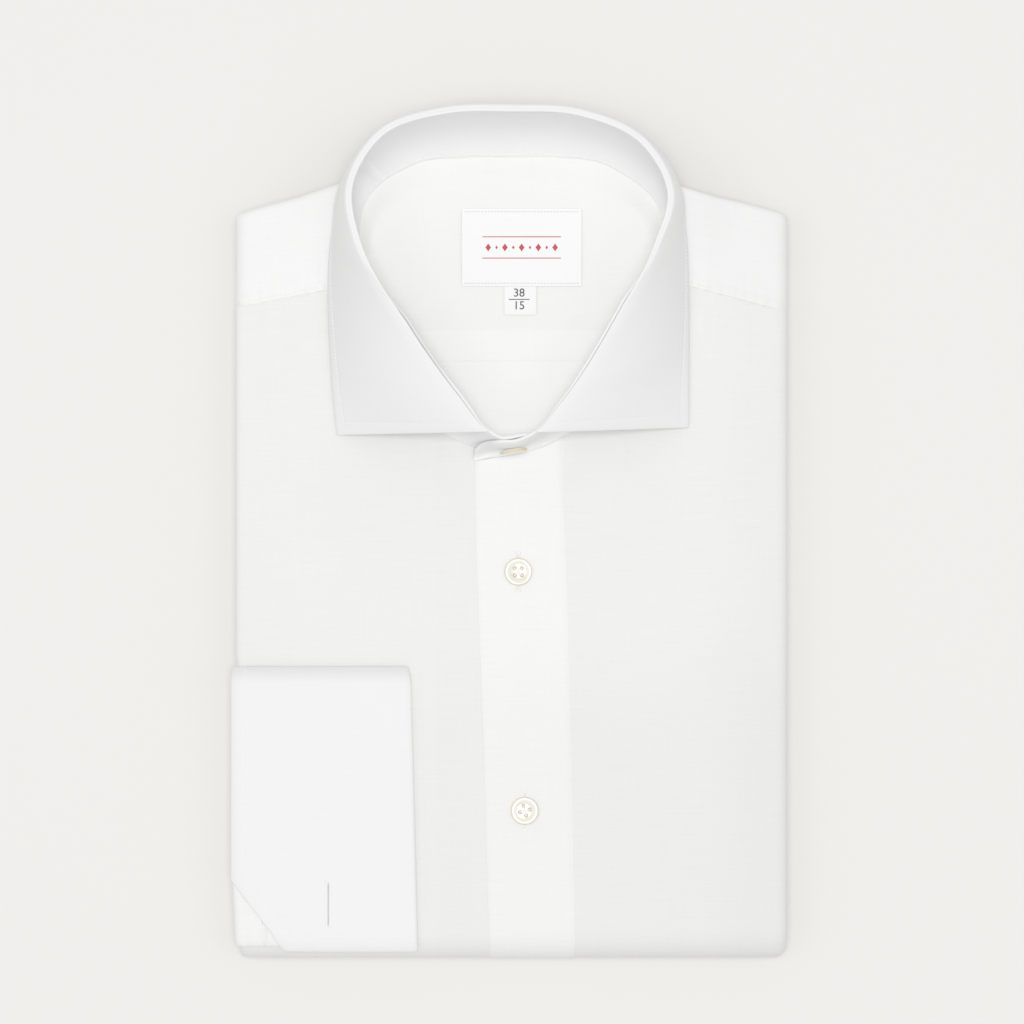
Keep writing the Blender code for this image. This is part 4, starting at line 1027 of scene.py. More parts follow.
# %% Yoke lining, seam allowance and back
def lining_grid():
    """From the straight seam on the back up to the neckline, where the cloth rises to meet the stand."""
    around = np.linspace(4.6, 15.4, 150)
    seam = collar_at(around)[:, 3:6]
    seam = seam[seam[:, 1] > YOKE_INSIDE_Y + 5.0]
    seam[:, :2] -= unit(seam[:, :2] - np.array([0.0, 118.0])) * 0.2
    base_x = np.linspace(-YOKE_INSIDE_HALF, YOKE_INSIDE_HALF, len(seam))
    base = np.stack([base_x, np.full(len(seam), YOKE_INSIDE_Y - 0.8)], axis=1)
    share = np.concatenate([[0.0, 0.008, 0.02], np.linspace(0.04, 0.7, 34), np.linspace(0.72, 1.0, 24)])
    share = share[:, None, None]
    flat = base[None] + (seam[None, :, :2] - base[None]) * share
    short = np.linalg.norm(seam[None, :, :2] - flat, axis=2)
    rise = (seam[:, 2] + 0.45 - INSIDE_Z - WALL) * ease(seam[:, 1], 92.0, 110.0)
    x, y = flat[..., 0], flat[..., 1]
    soft = fold_lines(NECK_FOLDS, x, y) * ease(short, 3.0, 12.0)
    lip = 0.26 * (1 - ease(y - YOKE_INSIDE_Y, 4.0, 12.0)) * ease(y - YOKE_INSIDE_Y, -1.0, 1.4)
    z = INSIDE_Z + WALL + rise[None] * (1 - ease(short, 0.0, 11.0)) + lip + soft
    return np.dstack([x, y, z])


NECK_FOLDS = (
    # x0, y0, x1, y1, bow, width, height
    (-44.0, 96.0, -30.0, 130.0, 4.0, 5.0, 0.35),
    (-50.0, 108.0, -20.0, 140.0, -3.0, 4.0, -0.30),
    (40.0, 92.0, 34.0, 126.0, -3.0, 5.0, 0.35),
    (48.0, 112.0, 24.0, 142.0, 3.0, 4.0, -0.28),
    (-30.0, 86.0, 30.0, 84.0, 1.5, 4.5, -0.18),
    (-20.0, 142.0, 22.0, 141.0, -1.5, 3.5, -0.25),
)
lining_face = lining_grid()
lining_back = lining_face.copy()
lining_back[..., 2] -= 0.25 + 0.55 * ease(lining_face[..., 1], YOKE_INSIDE_Y, YOKE_INSIDE_Y + 4.0)
lining = shell("yoke_lining_cloth", lining_face, lining_back,
               cloth_grid(lining_face[..., 0], lining_face[..., 1]), 0.7)
finish_piece(lining, inside_cotton, ["yoke_lining"])


def back_grid():
    """The strip of back below the lining's seam: level but for a soft swell, a tuck under the seam and a rise in
    front to the neckline."""
    y = np.linspace(YOKE_INSIDE_Y + 2.0, 33.4, 44)
    neck_edge = FRONT_NECK[FRONT_NECK[:, 0] > 1.0]
    half = np.interp(y, neck_edge[:, 1], neck_edge[:, 0]) + 1.5
    x = half[:, None] * np.linspace(-1.0, 1.0, 60)[None, :]
    y = np.repeat(y[:, None], 60, axis=1)
    soft = 0.15 * np.sin(x / 9.0 + 0.5) * np.sin(y / 8.0)
    tuck = 0.06 + 0.7 * ease(y, YOKE_INSIDE_Y - 0.9, YOKE_INSIDE_Y + 0.8)
    rise = 1.8 * (1 - ease(y, 34.0, 52.0))
    return np.dstack([x, y, INSIDE_Z + WALL + soft * (1 - ease(y, 62.0, 68.0)) - tuck + rise])


back_face = back_grid()
back_cloth = shell("back_cloth", back_face, back_face - np.array([0.0, 0.0, 0.8]),
                   cloth_grid(back_face[..., 0], back_face[..., 1]), 0.7)
finish_piece(back_cloth, back_cotton, ["back_panel"])

# %% [markdown]
# ## The sleeve and its cuff
#
# The sleeve comes out from between the folded layers, round the side, and runs into the cuff. A French cuff is twice
# as deep as a plain one and turns back on itself, so it shows as two fused layers joined by a rolled fold, with one
# corner cut off. The cut shows the layer beneath and its seam.

# %% Cuff and sleeve
def cuff_rows(start, end_short, top_short, count):
    """Rows of one layer of the cuff, each with its free end and its turned fold."""
    cut_across, cut_along = CUFF_CORNER
    top = CUFF_TOP_Y - AXIS_Y - top_short
    end = CUFF_END_ALONG + end_short
    split = end + cut_along
    along = np.concatenate([np.linspace(top, split, count), np.linspace(split, end, count // 3)[1:]])
    free = start + cut_across * np.clip((split - along) / cut_along, 0.0, 1.0)
    fold = CUFF_FOLD_TOP + (CUFF_FOLD_END - CUFF_FOLD_TOP) * (top - along) / (top - end)
    return along, free, fold


CUFF_SIDE_STITCH = 5.4  # free edge to its stitch line
CUFF_END_STITCH = 4.6  # lower edge to its stitch line
CUFF_HOLE = (-72.0, -153.6, -136.4)  # buttonhole: x, lower end, upper end


def cuff_edge_distances(x, along):
    """Distances inside the free edge, the cut corner and the lower edge."""
    cut_across, cut_along = CUFF_CORNER
    slant = math.hypot(cut_across, cut_along)
    corner = ((x - CUFF_OUT) * cut_along + (along - CUFF_END_ALONG - cut_along) * cut_across) / slant
    return x - CUFF_OUT, corner, along - CUFF_END_ALONG


def stitch_groove(x, along, depth=0.2):
    """Trough under the cuff's stitch line and the slight swelling between it and the edge."""
    side, corner, end = cuff_edge_distances(x, along)
    near = np.minimum(np.minimum(side - CUFF_SIDE_STITCH, corner - CUFF_SIDE_STITCH), end - CUFF_END_STITCH)
    return -depth * bell(near, 0.55) + 0.10 * bell(near + 2.4, 1.6)


def cuff_wrap(across, along, lift):
    """The cuff is stiff, so past the side fold it runs on straight with a slight droop and does not follow round."""
    beyond = np.maximum(-np.asarray(across) - FLAT, 0.0)
    points = body(np.maximum(across, -FLAT), along, lift, 0.0)
    points[..., 0] -= beyond
    points[..., 2] -= 0.03 * beyond**2
    return points


def cuff_lift(x, y):
    """Height of the cuff's face: two layers and a soft swell, and a roll down to the body along its top edge."""
    swell = 0.16 * np.sin(x / 19.0 + 1.0) * np.sin(y / 23.0) + fold_lines(CUFF_FOLDS, x, y + AXIS_Y)
    down = 2.3 * np.clip(1 - (CUFF_TOP_Y - AXIS_Y - y) / 7.2, 0.0, 1.0) ** 1.9
    return 3 * GAP + 2 * LINED + swell - down, down


def turned_cuff():
    """The layer on top: a flat part with its buttonhole, then a half circle down to the layer below. The circle's
    radius shrinks where the cuff's top edge is pressed down."""
    along, free, fold = cuff_rows(CUFF_OUT, 0.0, 0.0, 84)
    hole_x, hole_low, hole_high = CUFF_HOLE
    ends = np.concatenate([np.array([-0.4, -0.1, 0.2, 0.6]) + h - AXIS_Y for h in (hole_low, hole_high)])
    rows = crowd(along, [ends, np.arange(hole_low, hole_high, 0.9) - AXIS_Y])[::-1]
    free, fold = np.interp(rows, along[::-1], free[::-1]), np.interp(rows, along[::-1], fold[::-1])
    low = 3 * GAP + LINED
    high = low + LINED
    x = through(free, fold - 1.6, np.full(len(rows), hole_x), 30, 28)
    y = np.repeat(rows[:, None], x.shape[1], axis=1)
    top_face, down = cuff_lift(x, y)
    edge = 0.25 * (1 - ease(np.minimum(*cuff_edge_distances(x, y)[:2]), 0.0, 1.2))
    hole = slit(x, y + AXIS_Y, hole_x, hole_low, hole_high, 1.2)
    face = cuff_wrap(x, y, top_face + stitch_groove(x, y) - edge + hole)
    back = cuff_wrap(x, y, low - 0.8 * down + np.minimum(hole, 0.0) * 0.2)
    sunk = down[:, -1:]
    middle = (GAP + high - sunk) / 2
    radius = (high - sunk) - middle
    angle = np.radians(np.linspace(8.0, 168.0, 18))[None]

    def rolled(rim):
        across = fold[:, None] - 1.6 + rim * np.sin(angle)
        return body(across, rows[:, None], middle + rim * np.cos(angle))

    face = np.concatenate([face, rolled(radius)], axis=1)
    back = np.concatenate([back, rolled(radius - np.minimum(LINED, radius * 0.7))], axis=1)
    run = np.concatenate([x, fold[:, None] - 1.6 + radius * angle], axis=1)
    made = shell("cuff_turned_cloth", face, back, cloth_grid(run, rows[:, None]))
    finish_piece(made, cuff_cotton, ["cuff_turned"])


CUFF_FOLDS = (
    # x0, y0, x1, y1, bow, width, height
    (-104.0, -60.0, -46.0, -64.0, 1.0, 6.0, 0.30),
    (-43.0, -56.0, -41.0, -150.0, 0.8, 3.2, 0.22),
    (-98.0, -90.0, -54.0, -112.0, 4.0, 12.0, -0.22),
)
turned_cuff()


def under_cuff():
    """The layer below, which shows at the cut corner with its seam: a ridge between two grooves."""
    start = SLEEVE_START + GAP
    along, _, fold = cuff_rows(start, 0.8, 8.0, 60)
    share = np.concatenate([np.linspace(0.0, 0.2, 46), np.linspace(0.2, 1.0, 24)[1:]])
    x = start + (fold - 3.4 - start)[:, None] * share[None]
    y = np.repeat(along[:, None], x.shape[1], axis=1)
    seam = 0.45 * bell(x + 97.5, 0.45) - 0.60 * bell(x + 98.4, 0.4) + 0.25 * bell(x + 99.6, 0.5)
    edge = 0.2 * (1 - ease(y - y.min(), 0.0, 1.0))
    face, back = body(x, y, GAP + LINED + seam - edge), body(x, y, GAP)
    made = finish_piece(shell("cuff_under_cloth", face, back, cloth_grid(x, y)), sleeve_cotton, ["cuff_under"])


under_cuff()


def sleeve_cloth():
    """Rows run down the sleeve's width; columns go from the cuff round the side and in between the layers."""
    end = SIDE_END + SLEEVE_TUCK
    across = -np.concatenate([np.linspace(-SLEEVE_START, SIDE_END, 34), np.linspace(SIDE_END, end, 12)[1:]])
    top = CUFF_TOP_Y - AXIS_Y - 6.5
    lowest = CUFF_END_ALONG + 0.9 + 2.0 * ease(-across, FLAT + SIDE, FLAT + math.pi * SIDE)
    y = top + (lowest - top)[None, :] * np.linspace(0.0, 1.0, 90)[:, None] ** 0.9
    x = np.broadcast_to(across, y.shape)
    low = GAP + 0.15
    crumple = 0.35 * bell(np.sin(y / 16.0 + x / 9.0), 0.35) * ease(-x, FLAT + 4.0, FLAT + 10.0)
    face = body(x, y, low + COLLAR_WALL + crumple * ease(y, 2.0, 20.0) * 0.6)
    made = shell("sleeve_cloth", face, body(x, y, low), cloth_grid(x, y))
    finish_piece(made, sleeve_cotton, ["sleeve"])


sleeve_cloth()

# %% [markdown]
# ## The hidden layers
#
# Inside the package lie the back, the side panels, the far sleeve and the tail, folded flat on each other. Only their
# edges show, in the groove between the upper and lower folds and under the shoulders. They are a stack of thick soft
# sheets, each with a round edge and an outline of its own, so the groove reads as folded cloth and not as a block.

# %% Hidden layers
def joined(name, shells):
    """One object from several, keeping their UV map."""
    with bpy.context.temp_override(active_object=shells[0], selected_editable_objects=shells, object=shells[0]):
        bpy.ops.object.join()
    shells[0].name = shells[0].data.name = name
    return shells[0]


LAYERS = (
    # bottom z, top z, half width, short of the shoulder line, short of the bottom fold, unevenness
    (1.25, 4.1, 103.6, 13.0, 5.0, 0.5),
    (4.2, 7.2, 106.0, 10.5, 7.5, 0.7),
    (7.3, 10.0, 105.0, 12.0, 9.0, 0.6),
    (10.1, 11.9, 101.8, 9.5, 9.6, 0.9),
    (12.0, 13.6, 102.6, 7.0, 9.6, 0.8),
    (13.7, 15.9, 104.6, 6.0, 8.5, 0.6),
    (16.0, 18.7, 106.2, 5.0, 7.0, 0.5),
)


def layer_shell(number, low, high, half, short, into_fold, uneven):
    """One hidden sheet between two heights: outline = the shoulder line less short, with sine waves of uneven."""
    share = np.concatenate([[-1.0, -0.996, -0.985, -0.96], np.linspace(-0.92, 0.92, 50), [0.96, 0.985, 0.996, 1.0]])
    x = share * half
    top = line_table(SHOULDERS, x) - short - 9.0 * ease(np.abs(share), 0.93, 1.0) ** 2
    t = np.concatenate([[0.0, 0.003, 0.01, 0.025], np.linspace(0.05, 0.95, 60), [0.975, 0.99, 0.997, 1.0]])
    start = AXIS_Y - into_fold
    y = start + (top - start)[None, :] * t[:, None]
    wobble = uneven * np.sin(y / 17.0 + number * 1.7) * np.sin(y / 47.0 + number)
    x = x[None, :] + np.sign(x)[None, :] * wobble * ease(np.abs(x), half * 0.8, half)[None, :]
    y = y + uneven * np.sin(x / 13.0 + number * 2.1) * ease(y, 90.0, 120.0)
    soft = 0.10 * np.sin(x / 21.0 + number) * np.sin(y / 29.0)
    face, back = np.dstack([x, y, high + soft]), np.dstack([x, y, low + soft])
    return shell(f"layer_{number}", face, back, cloth_grid(x, y), 1.0)


hidden = joined("hidden_layers", [layer_shell(k, *row) for k, row in enumerate(LAYERS)])
finish_piece(hidden, front_cotton, ["folded_layers"])
print(f"{hidden.name}: {len(LAYERS)} layers, {len(hidden.data.polygons)} faces")

# %% [markdown]
# ## Labels in the neck
#
# A woven label is sewn to the yoke lining along its top and bottom edges, with a small size tag caught under it. The
# label carries only a plain woven ornament, a row of lozenges between two lines, and the tag has the collar size in
# centimetres and inches. Each mark is a raised float of red or grey thread, so it is its own thin piece.

# %% Labels
def tape_grid(centre_x, centre_y, width, height, z, wave):
    """A woven tape: nearly flat, pulled down along its stitched edges and a little proud between them."""
    s = np.concatenate([[-0.5, -0.492, -0.48], np.linspace(-0.46, 0.46, 40), [0.48, 0.492, 0.5]])
    x, y = np.meshgrid(centre_x + s * width, centre_y + s * height)
    across, down = (x - centre_x) / width, (y - centre_y) / height
    lift = 0.30 * (1 - (2 * np.abs(down)) ** 6) + wave * np.sin(x / 8.0 + 0.4) * np.sin(y / 7.0)
    lift = lift + 0.10 * bell(np.abs(across) - 0.5, 0.02)
    return np.dstack([x, y, z + lift])


LABEL_Z = INSIDE_Z + WALL + GAP + LABEL_WALL - 0.05
label_face = tape_grid(*NECK_LABEL, LABEL_Z, 0.06)
neck_label = shell("neck_label_tape", label_face, label_face - np.array([0.0, 0.0, 0.45]),
                   cloth_grid(label_face[..., 0], label_face[..., 1]), 0.8)
finish_piece(neck_label, tape, ["neck_label"])

tag_face = tape_grid(*SIZE_LABEL, LABEL_Z - 0.12, 0.02)
size_tag = shell("size_label_tape", tag_face, tag_face - np.array([0.0, 0.0, 0.35]),
                 cloth_grid(tag_face[..., 0], tag_face[..., 1]), 0.8)
finish_piece(size_tag, tape, ["size_label"])


def raised_shape(corners, z, thick):
    """A flat outline given height: points and faces of one closed body with slightly drawn in top corners."""
    corners = np.asarray(corners, float)
    middle = corners.mean(axis=0)
    count = len(corners)
    rings = [(1.0, -0.15), (1.0, thick * 0.6), (0.90, thick)]
    points = [np.column_stack([middle + (corners - middle) * k, np.full(count, z + h)]) for k, h in rings]
    here = np.arange(count)
    ahead = np.roll(here, -1)
    faces = [tuple(here[::-1]), tuple(2 * count + here)]
    for k in range(2):
        faces += list(map(tuple, np.stack([here, ahead, ahead + count, here + count], -1) + k * count))
    return np.concatenate(points), faces


def rectangle(x, y, half_wide, half_high):
    """Corners of a rectangle round a middle point."""
    return [(x - half_wide, y - half_high), (x + half_wide, y - half_high),
            (x + half_wide, y + half_high), (x - half_wide, y + half_high)]


def gather(parts):
    """Points and faces of several bodies as one mesh's."""
    points, faces, size = [], [], 0
    for part_points, part_faces in parts:
        points.append(part_points)
        faces += [tuple(int(i) + size for i in face) for face in part_faces]
        size += len(part_points)
    return np.concatenate(points), faces


LOZENGE_PITCH = 3.3
LINE_AWAY = 4.2  # each line from the middle of the label


def ornament():
    """A row of lozenges between two thin lines, in the middle of the label."""
    x0, y0 = NECK_LABEL[:2]
    z = LABEL_Z + 0.28
    parts = []
    for k in np.arange(-4, 5):
        wide, high = (2.3, 3.2) if k % 2 == 0 else (1.1, 1.6)
        lozenge = np.array([(-wide / 2, 0), (0, -high / 2), (wide / 2, 0), (0, high / 2)])
        parts.append(raised_shape(np.array([x0 + k * LOZENGE_PITCH, y0]) + lozenge, z, 0.14))
    for y in (y0 - LINE_AWAY, y0 + LINE_AWAY):
        parts.append(raised_shape(rectangle(x0, y, 15.5, 0.2), z, 0.12))
    points, faces = gather(parts)
    return finish_piece(make_object("label_ornament", points, faces, smooth=False), red_thread)


ornament()


def figures(text, x, y, height, z):
    """Printed figures: points and faces of the text's outline, a hair above the tape."""
    curve = bpy.data.curves.new("figures", "FONT")
    curve.body, curve.size, curve.align_x, curve.align_y = text, height, "CENTER", "CENTER"
    curve.extrude, curve.offset = 0.04, 0.012 * height
    holder = bpy.data.objects.new("figures", curve)
    bpy.context.scene.collection.objects.link(holder)
    mesh = bpy.data.meshes.new_from_object(holder.evaluated_get(bpy.context.evaluated_depsgraph_get()))
    bpy.data.objects.remove(holder)
    points = np.array([v.co[:] for v in mesh.vertices]) + np.array([x, y, z])
    faces = [tuple(p.vertices) for p in mesh.polygons]
    bpy.data.meshes.remove(mesh)
    return points, faces


def size_figures():
    """Collar size in centimetres over the same in inches, with a rule between."""
    z = LABEL_Z + 0.22
    x, y = SIZE_LABEL[0] - 0.5, SIZE_LABEL[1] + 0.5
    rule = raised_shape(rectangle(x, y, 4.1, 0.2), z, 0.05)
    points, faces = gather([figures("38", x, y + 2.5, 4.6, z), rule, figures("15", x, y - 2.5, 4.6, z)])
    return finish_piece(make_object("size_figures", points, faces, smooth=False), size_ink)


size_figures()

# %% [markdown]
# ## Buttons
#
# Shirt buttons are turned from shell: a flat back, a round rim, a dished middle and four holes. A lathe profile gives
# all of that but the holes, so the profile is carried round a circle and the holes are cut with four small rods. The
# thread crosses in the dish and holds the button on a short shank.

# %% Buttons
BUTTON_PROFILE = np.array([
    # radius, height
    (0.001, 0.30), (3.6, 0.30), (4.5, 0.42), (5.15, 0.78), (5.45, 1.25), (5.42, 1.68), (5.15, 2.02), (4.75, 2.18),
    (4.30, 2.12), (3.92, 1.88), (3.60, 1.62), (3.20, 1.50), (2.2, 1.44), (0.001, 1.42),
])
HOLE = 0.74  # radius of a hole
SPREAD = 1.36  # holes from the middle, both ways
HOLE_PLACES = [np.array([x, y, 0.0]) for x in (-SPREAD, SPREAD) for y in (-SPREAD, SPREAD)]
ROD = ((HOLE, -1.0), (HOLE, 1.25), (HOLE * 1.35, 1.75), (HOLE * 1.35, 3.0))  # radius, height, as is the next
WELL = ((0.001, 0.60), (0.60, 0.60), (0.64, 1.00), (0.45, 1.20), (0.001, 1.24))
STRAND = 0.22  # radius of the thread that holds a button


def axes_to(normal, up):
    """Three square unit vectors, the last along normal."""
    third = unit(np.asarray(normal, float))
    first = unit(np.cross(np.asarray(up, float), third))
    return np.array([first, np.cross(third, first), third])


def turned(profile, count):
    """Points and faces of a profile of radius and height carried round a circle, closed at both ends."""
    around = np.linspace(0.0, 2 * math.pi, count + 1)[:-1]
    circle = np.stack([np.cos(around), np.sin(around)], -1)
    points = np.concatenate([np.column_stack([circle * r, np.full(count, h)]) for r, h in profile])
    rings = np.arange(len(points)).reshape(len(profile), count)
    wrapped = np.concatenate([rings, rings[:, :1]], axis=1)
    faces = [tuple(face) for face in grid_quads(wrapped)]
    return points, faces + [tuple(rings[0][::-1]), tuple(rings[-1])]


def facing_out(points, faces):
    """The faces, all turned round if the body they close is inside out: if the sum of corner . (next x one after),
    six times its volume, is negative."""
    volume = sum(np.dot(points[f[0]], np.cross(points[f[k]], points[f[k + 1]]))
                 for f in faces for k in range(1, len(f) - 1))
    return faces if volume > 0 else [tuple(reversed(face)) for face in faces]


def at_holes(profile, count, axes, centre):
    """Points and faces of a turned profile placed at each of a button's four holes."""
    points, faces = turned(profile, count)
    placed = [(points + place) @ axes + centre for place in HOLE_PLACES]
    return gather([(part, facing_out(part, faces)) for part in placed])


def shirt_button(name, node, centre, normal, roll=0.0):
    """A turned button with four holes cut by rods, a plug of thread in each, tan-brown for painted shade in the hole,
    and two crossed pairs of strands.
    """
    axes = axes_to(normal, (math.sin(roll), math.cos(roll), 0.2))
    t = np.linspace(0, len(BUTTON_PROFILE) - 1, 34)
    knots = np.column_stack([np.arange(len(BUTTON_PROFILE)), BUTTON_PROFILE])
    points, faces = turned(smooth_table(knots, t), 64)
    around = np.arctan2(points[:, 1], points[:, 0])
    rings = np.stack([np.hypot(points[:, 0], points[:, 1]), around], axis=1)
    points = points @ axes + centre
    made = make_object(name, points, facing_out(points, faces), rings)
    cutter = make_object(name + "_rods", *at_holes(ROD, 20, axes, centre))
    cut = made.modifiers.new("holes", "BOOLEAN")
    cut.operation, cut.solver, cut.object = "DIFFERENCE", "EXACT", cutter
    pierced = bpy.data.meshes.new_from_object(made.evaluated_get(bpy.context.evaluated_depsgraph_get()))
    made.modifiers.clear()
    made.data = pierced
    bpy.data.objects.remove(cutter)
    finish_piece(made, pearl, [node])
    finish_piece(make_object(name + "_wells", *at_holes(WELL, 16, axes, centre)), shaded_well_thread)
    strand = []
    for first, second in (((-SPREAD, -SPREAD), (SPREAD, SPREAD)), ((-SPREAD, SPREAD), (SPREAD, -SPREAD))):
        for shift in (-0.20, 0.20):
            strand.append(thread_arc(np.array(first), np.array(second), shift, axes, centre))
    points, faces = gather(strand)
    finish_piece(make_object(name + "_thread", points, faces), white_thread)
    print(f"{name}: {len(pierced.polygons)} faces")


def thread_arc(first, second, shift, axes, centre):
    """A round strand from one hole over to another: a thin tube round a flat arch that dips into both."""
    t = np.linspace(0.0, 1.0, 13)
    run = second - first
    square = np.array([-run[1], run[0]]) / np.linalg.norm(run)
    level = 0.55 + 1.15 * np.sin(math.pi * t) ** 0.35
    spine = np.column_stack([first + run * t[:, None] + square * shift * np.sin(math.pi * t)[:, None], level])
    around = np.linspace(0.0, 2 * math.pi, 7)[:-1]
    tangent = unit(np.gradient(spine, axis=0))
    across = np.cross(tangent, np.array([0.0, 0.0, 1.0]))
    across = np.where(np.linalg.norm(across, axis=1)[:, None] < 1e-6, np.append(square, 0.0), across)
    across = unit(across)
    above = np.cross(across, tangent)
    ring = across[:, None] * np.cos(around)[None, :, None] + above[:, None] * np.sin(around)[None, :, None]
    points = (spine[:, None] + STRAND * ring).reshape(-1, 3)
    rings = np.arange(len(points)).reshape(len(t), 6)
    wrapped = np.concatenate([rings, rings[:, :1]], axis=1)
    faces = [tuple(face) for face in grid_quads(wrapped)] + [tuple(rings[0][::-1]), tuple(rings[-1])]
    points = points @ axes + centre
    return points, facing_out(points, faces)


for which, (x, y) in enumerate(FRONT_BUTTONS, 1):
    base = np.array([x, y, THICK + PLACKET_LIFT + float(pressed(x, y)) - 0.05])
    shirt_button(f"front_button_{which}_shell", f"front_button_{which}", base, (0.05 * (3 - 2 * which), 0.06, 1.0),
                 0.5 * (which - 1))

collar_spot = stand_grid(np.array([18.2, 18.25, 18.3]), np.array([0.44, 0.50, 0.56]))[1, 1]
collar_square = np.array([0.165, -0.986, 0.02])
print("collar button at", collar_spot.round(1))
shirt_button("collar_button_shell", "collar_button", collar_spot + collar_square * (COLLAR_WALL / 2 - 0.25),
             collar_square)

# %% [markdown]
# ## Stitches
#
# Lockstitch shows as a row of short grains, each sunk at both ends where the thread goes through. One function makes
# every row: it spaces grains evenly along a path, turns each one along the seam and square to the cloth, and puts
# them all in one mesh. A buttonhole is the same grain, set close together across the slit.

# %% Stitch rows
PITCH = 1.45  # from stitch to stitch
GRAIN = 1.15  # length of thread that shows of each


def resampled(points, normals, pitch):
    """Points evenly spaced along a path, with their directions and normals."""
    step = np.linalg.norm(np.diff(points, axis=0), axis=1)
    place = np.concatenate([[0.0], np.cumsum(step)])
    at = np.arange(0.5 * pitch, place[-1] - 0.4 * pitch, pitch)

    def read(where, values):
        return np.stack([np.interp(where, place, values[:, k]) for k in range(3)], axis=1)

    return read(at, points), unit(read(at + 0.3, points) - read(at - 0.3, points)), unit(read(at, normals))


def grains(spots, run, square, length, radius, lift=0.10, sink=0.30):
    """One grain of thread for each spot: five rings of six points, thick in the middle, whose ends dip into the
    cloth by sink. Returns points and faces of all of them."""
    t = np.array([-0.5, -0.36, 0.0, 0.36, 0.5])
    size = radius * np.array([0.45, 0.85, 1.0, 0.85, 0.45])
    dip = lift - sink * (2 * np.abs(t)) ** 4
    around = np.linspace(0.0, 2 * math.pi, 7)[:-1]
    side = np.cross(run, square)
    centre = spots[:, None] + run[:, None] * (t * length)[None, :, None] + square[:, None] * dip[None, :, None]
    ring = side[:, None] * np.cos(around)[None, :, None] + square[:, None] * np.sin(around)[None, :, None]
    points = centre[:, :, None] + ring[:, None] * size[None, :, None, None]
    number = np.arange(len(spots) * 30).reshape(len(spots), 5, 6)
    ahead = np.roll(number, -1, axis=2)
    quads = np.stack([number[:, :-1], number[:, 1:], ahead[:, 1:], ahead[:, :-1]], -1).reshape(-1, 4)
    ends = np.concatenate([number[:, 0], number[:, -1][:, ::-1]])
    return points.reshape(-1, 3), list(map(tuple, quads)) + list(map(tuple, ends))


def seam_row(points, normals, radius=0.20):
    """Grains along a seam at the usual pitch."""
    return grains(*resampled(points, normals, PITCH), GRAIN, radius)


def stitch_piece(name, rows, material=white_thread):
    """One piece from rows of grains, 30 points a grain."""
    points, faces = gather(rows)
    finish_piece(make_object(name, points, faces), material)
    print(f"{name}: {len(points) // 30} stitches")


def level_points(grid, square, measure, wanted, axis, keep):
    """Where a measure over a grid crosses a wanted value along each row or column, with the normals there."""
    if axis == 1:
        grid, square, measure, keep = (np.swapaxes(v, 0, 1) for v in (grid, square, measure, keep))
    points, normals = [], []
    for k in range(grid.shape[1]):
        column = measure[:, k]
        order = np.argsort(column)
        if column.min() > wanted or column.max() < wanted:
            continue
        at = np.interp(wanted, column[order], order.astype(float))
        low = int(min(at, len(column) - 2))
        f = at - low
        if not keep[low, k]:
            continue
        points.append(grid[low, k] * (1 - f) + grid[low + 1, k] * f)
        normals.append(square[low, k])
    return np.array(points), np.array(normals)


# %% Collar stitches
half = leaf_middle.shape[1] // 2
rows_made = [seam_row(*level_points(leaf_outer, leaf_square, leaf_to_edge, LEAF_SIDE_STITCH, 0,
                                    leaf_to_front > LEAF_FRONT_STITCH), 0.22)]
for part in (slice(0, half), slice(half, None)):
    rows_made.append(seam_row(*level_points(leaf_outer[:, part], leaf_square[:, part], leaf_to_front[:, part],
                                            LEAF_FRONT_STITCH, 1, leaf_to_edge[:, part] > LEAF_SIDE_STITCH), 0.22))
stitch_piece("leaf_stitches", rows_made)

stand_square = unit(stand_outer - stand_inner)
stand_sides = ((stand_outer, stand_square), (stand_inner, -stand_square))
seam, lap_edge = 24, (slice(3, 24), -6)  # places in the stand's grid: just above its seam, and beside its free end
rows_made = [seam_row(face[where], normals[where]) for where in (seam, lap_edge) for face, normals in stand_sides]
stitch_piece("stand_stitches", rows_made)

# %% Cuff, yoke and label stitches
cut_across, cut_along = CUFF_CORNER
slant = math.hypot(cut_across, cut_along)
inset = CUFF_SIDE_STITCH
left_x = CUFF_OUT + inset
end_y = CUFF_END_ALONG + CUFF_END_STITCH
corner_top = CUFF_END_ALONG + cut_along + (inset * slant - (left_x - CUFF_OUT) * cut_along) / cut_across
corner_x = CUFF_OUT + (inset * slant - (end_y - CUFF_END_ALONG - cut_along) * cut_across) / cut_along
line_x = [left_x, left_x, corner_x, CUFF_FOLD_END - 0.8]
line_y = [CUFF_TOP_Y - AXIS_Y - 0.6, corner_top, end_y, end_y]
rows_made = []
for k in range(3):
    t = np.linspace(0.0, 1.0, 90)
    x = line_x[k] + (line_x[k + 1] - line_x[k]) * t
    y = line_y[k] + (line_y[k + 1] - line_y[k]) * t
    level = cuff_lift(x, y)[0] - 0.16
    points = cuff_wrap(x, y, level)
    rows_made.append(seam_row(points, cuff_wrap(x, y, level + 1.0) - points, 0.22))
stitch_piece("cuff_stitches", rows_made)

rows_made = []
yoke_square = square_to(yoke_outer)
yoke_square *= np.sign(yoke_square[8, 70, 2])
yoke_away = distance_from_end(yoke_outer, 0, False)
for low, high in ((-107.5, -61.5), (61.5, 107.5)):
    inside = (yoke_outer[..., 0] > low) & (yoke_outer[..., 0] < high)
    rows_made.append(seam_row(*level_points(yoke_outer[:30], yoke_square[:30], yoke_away[:30], 1.5, 0, inside[:30])))
stitch_piece("yoke_stitches", rows_made)


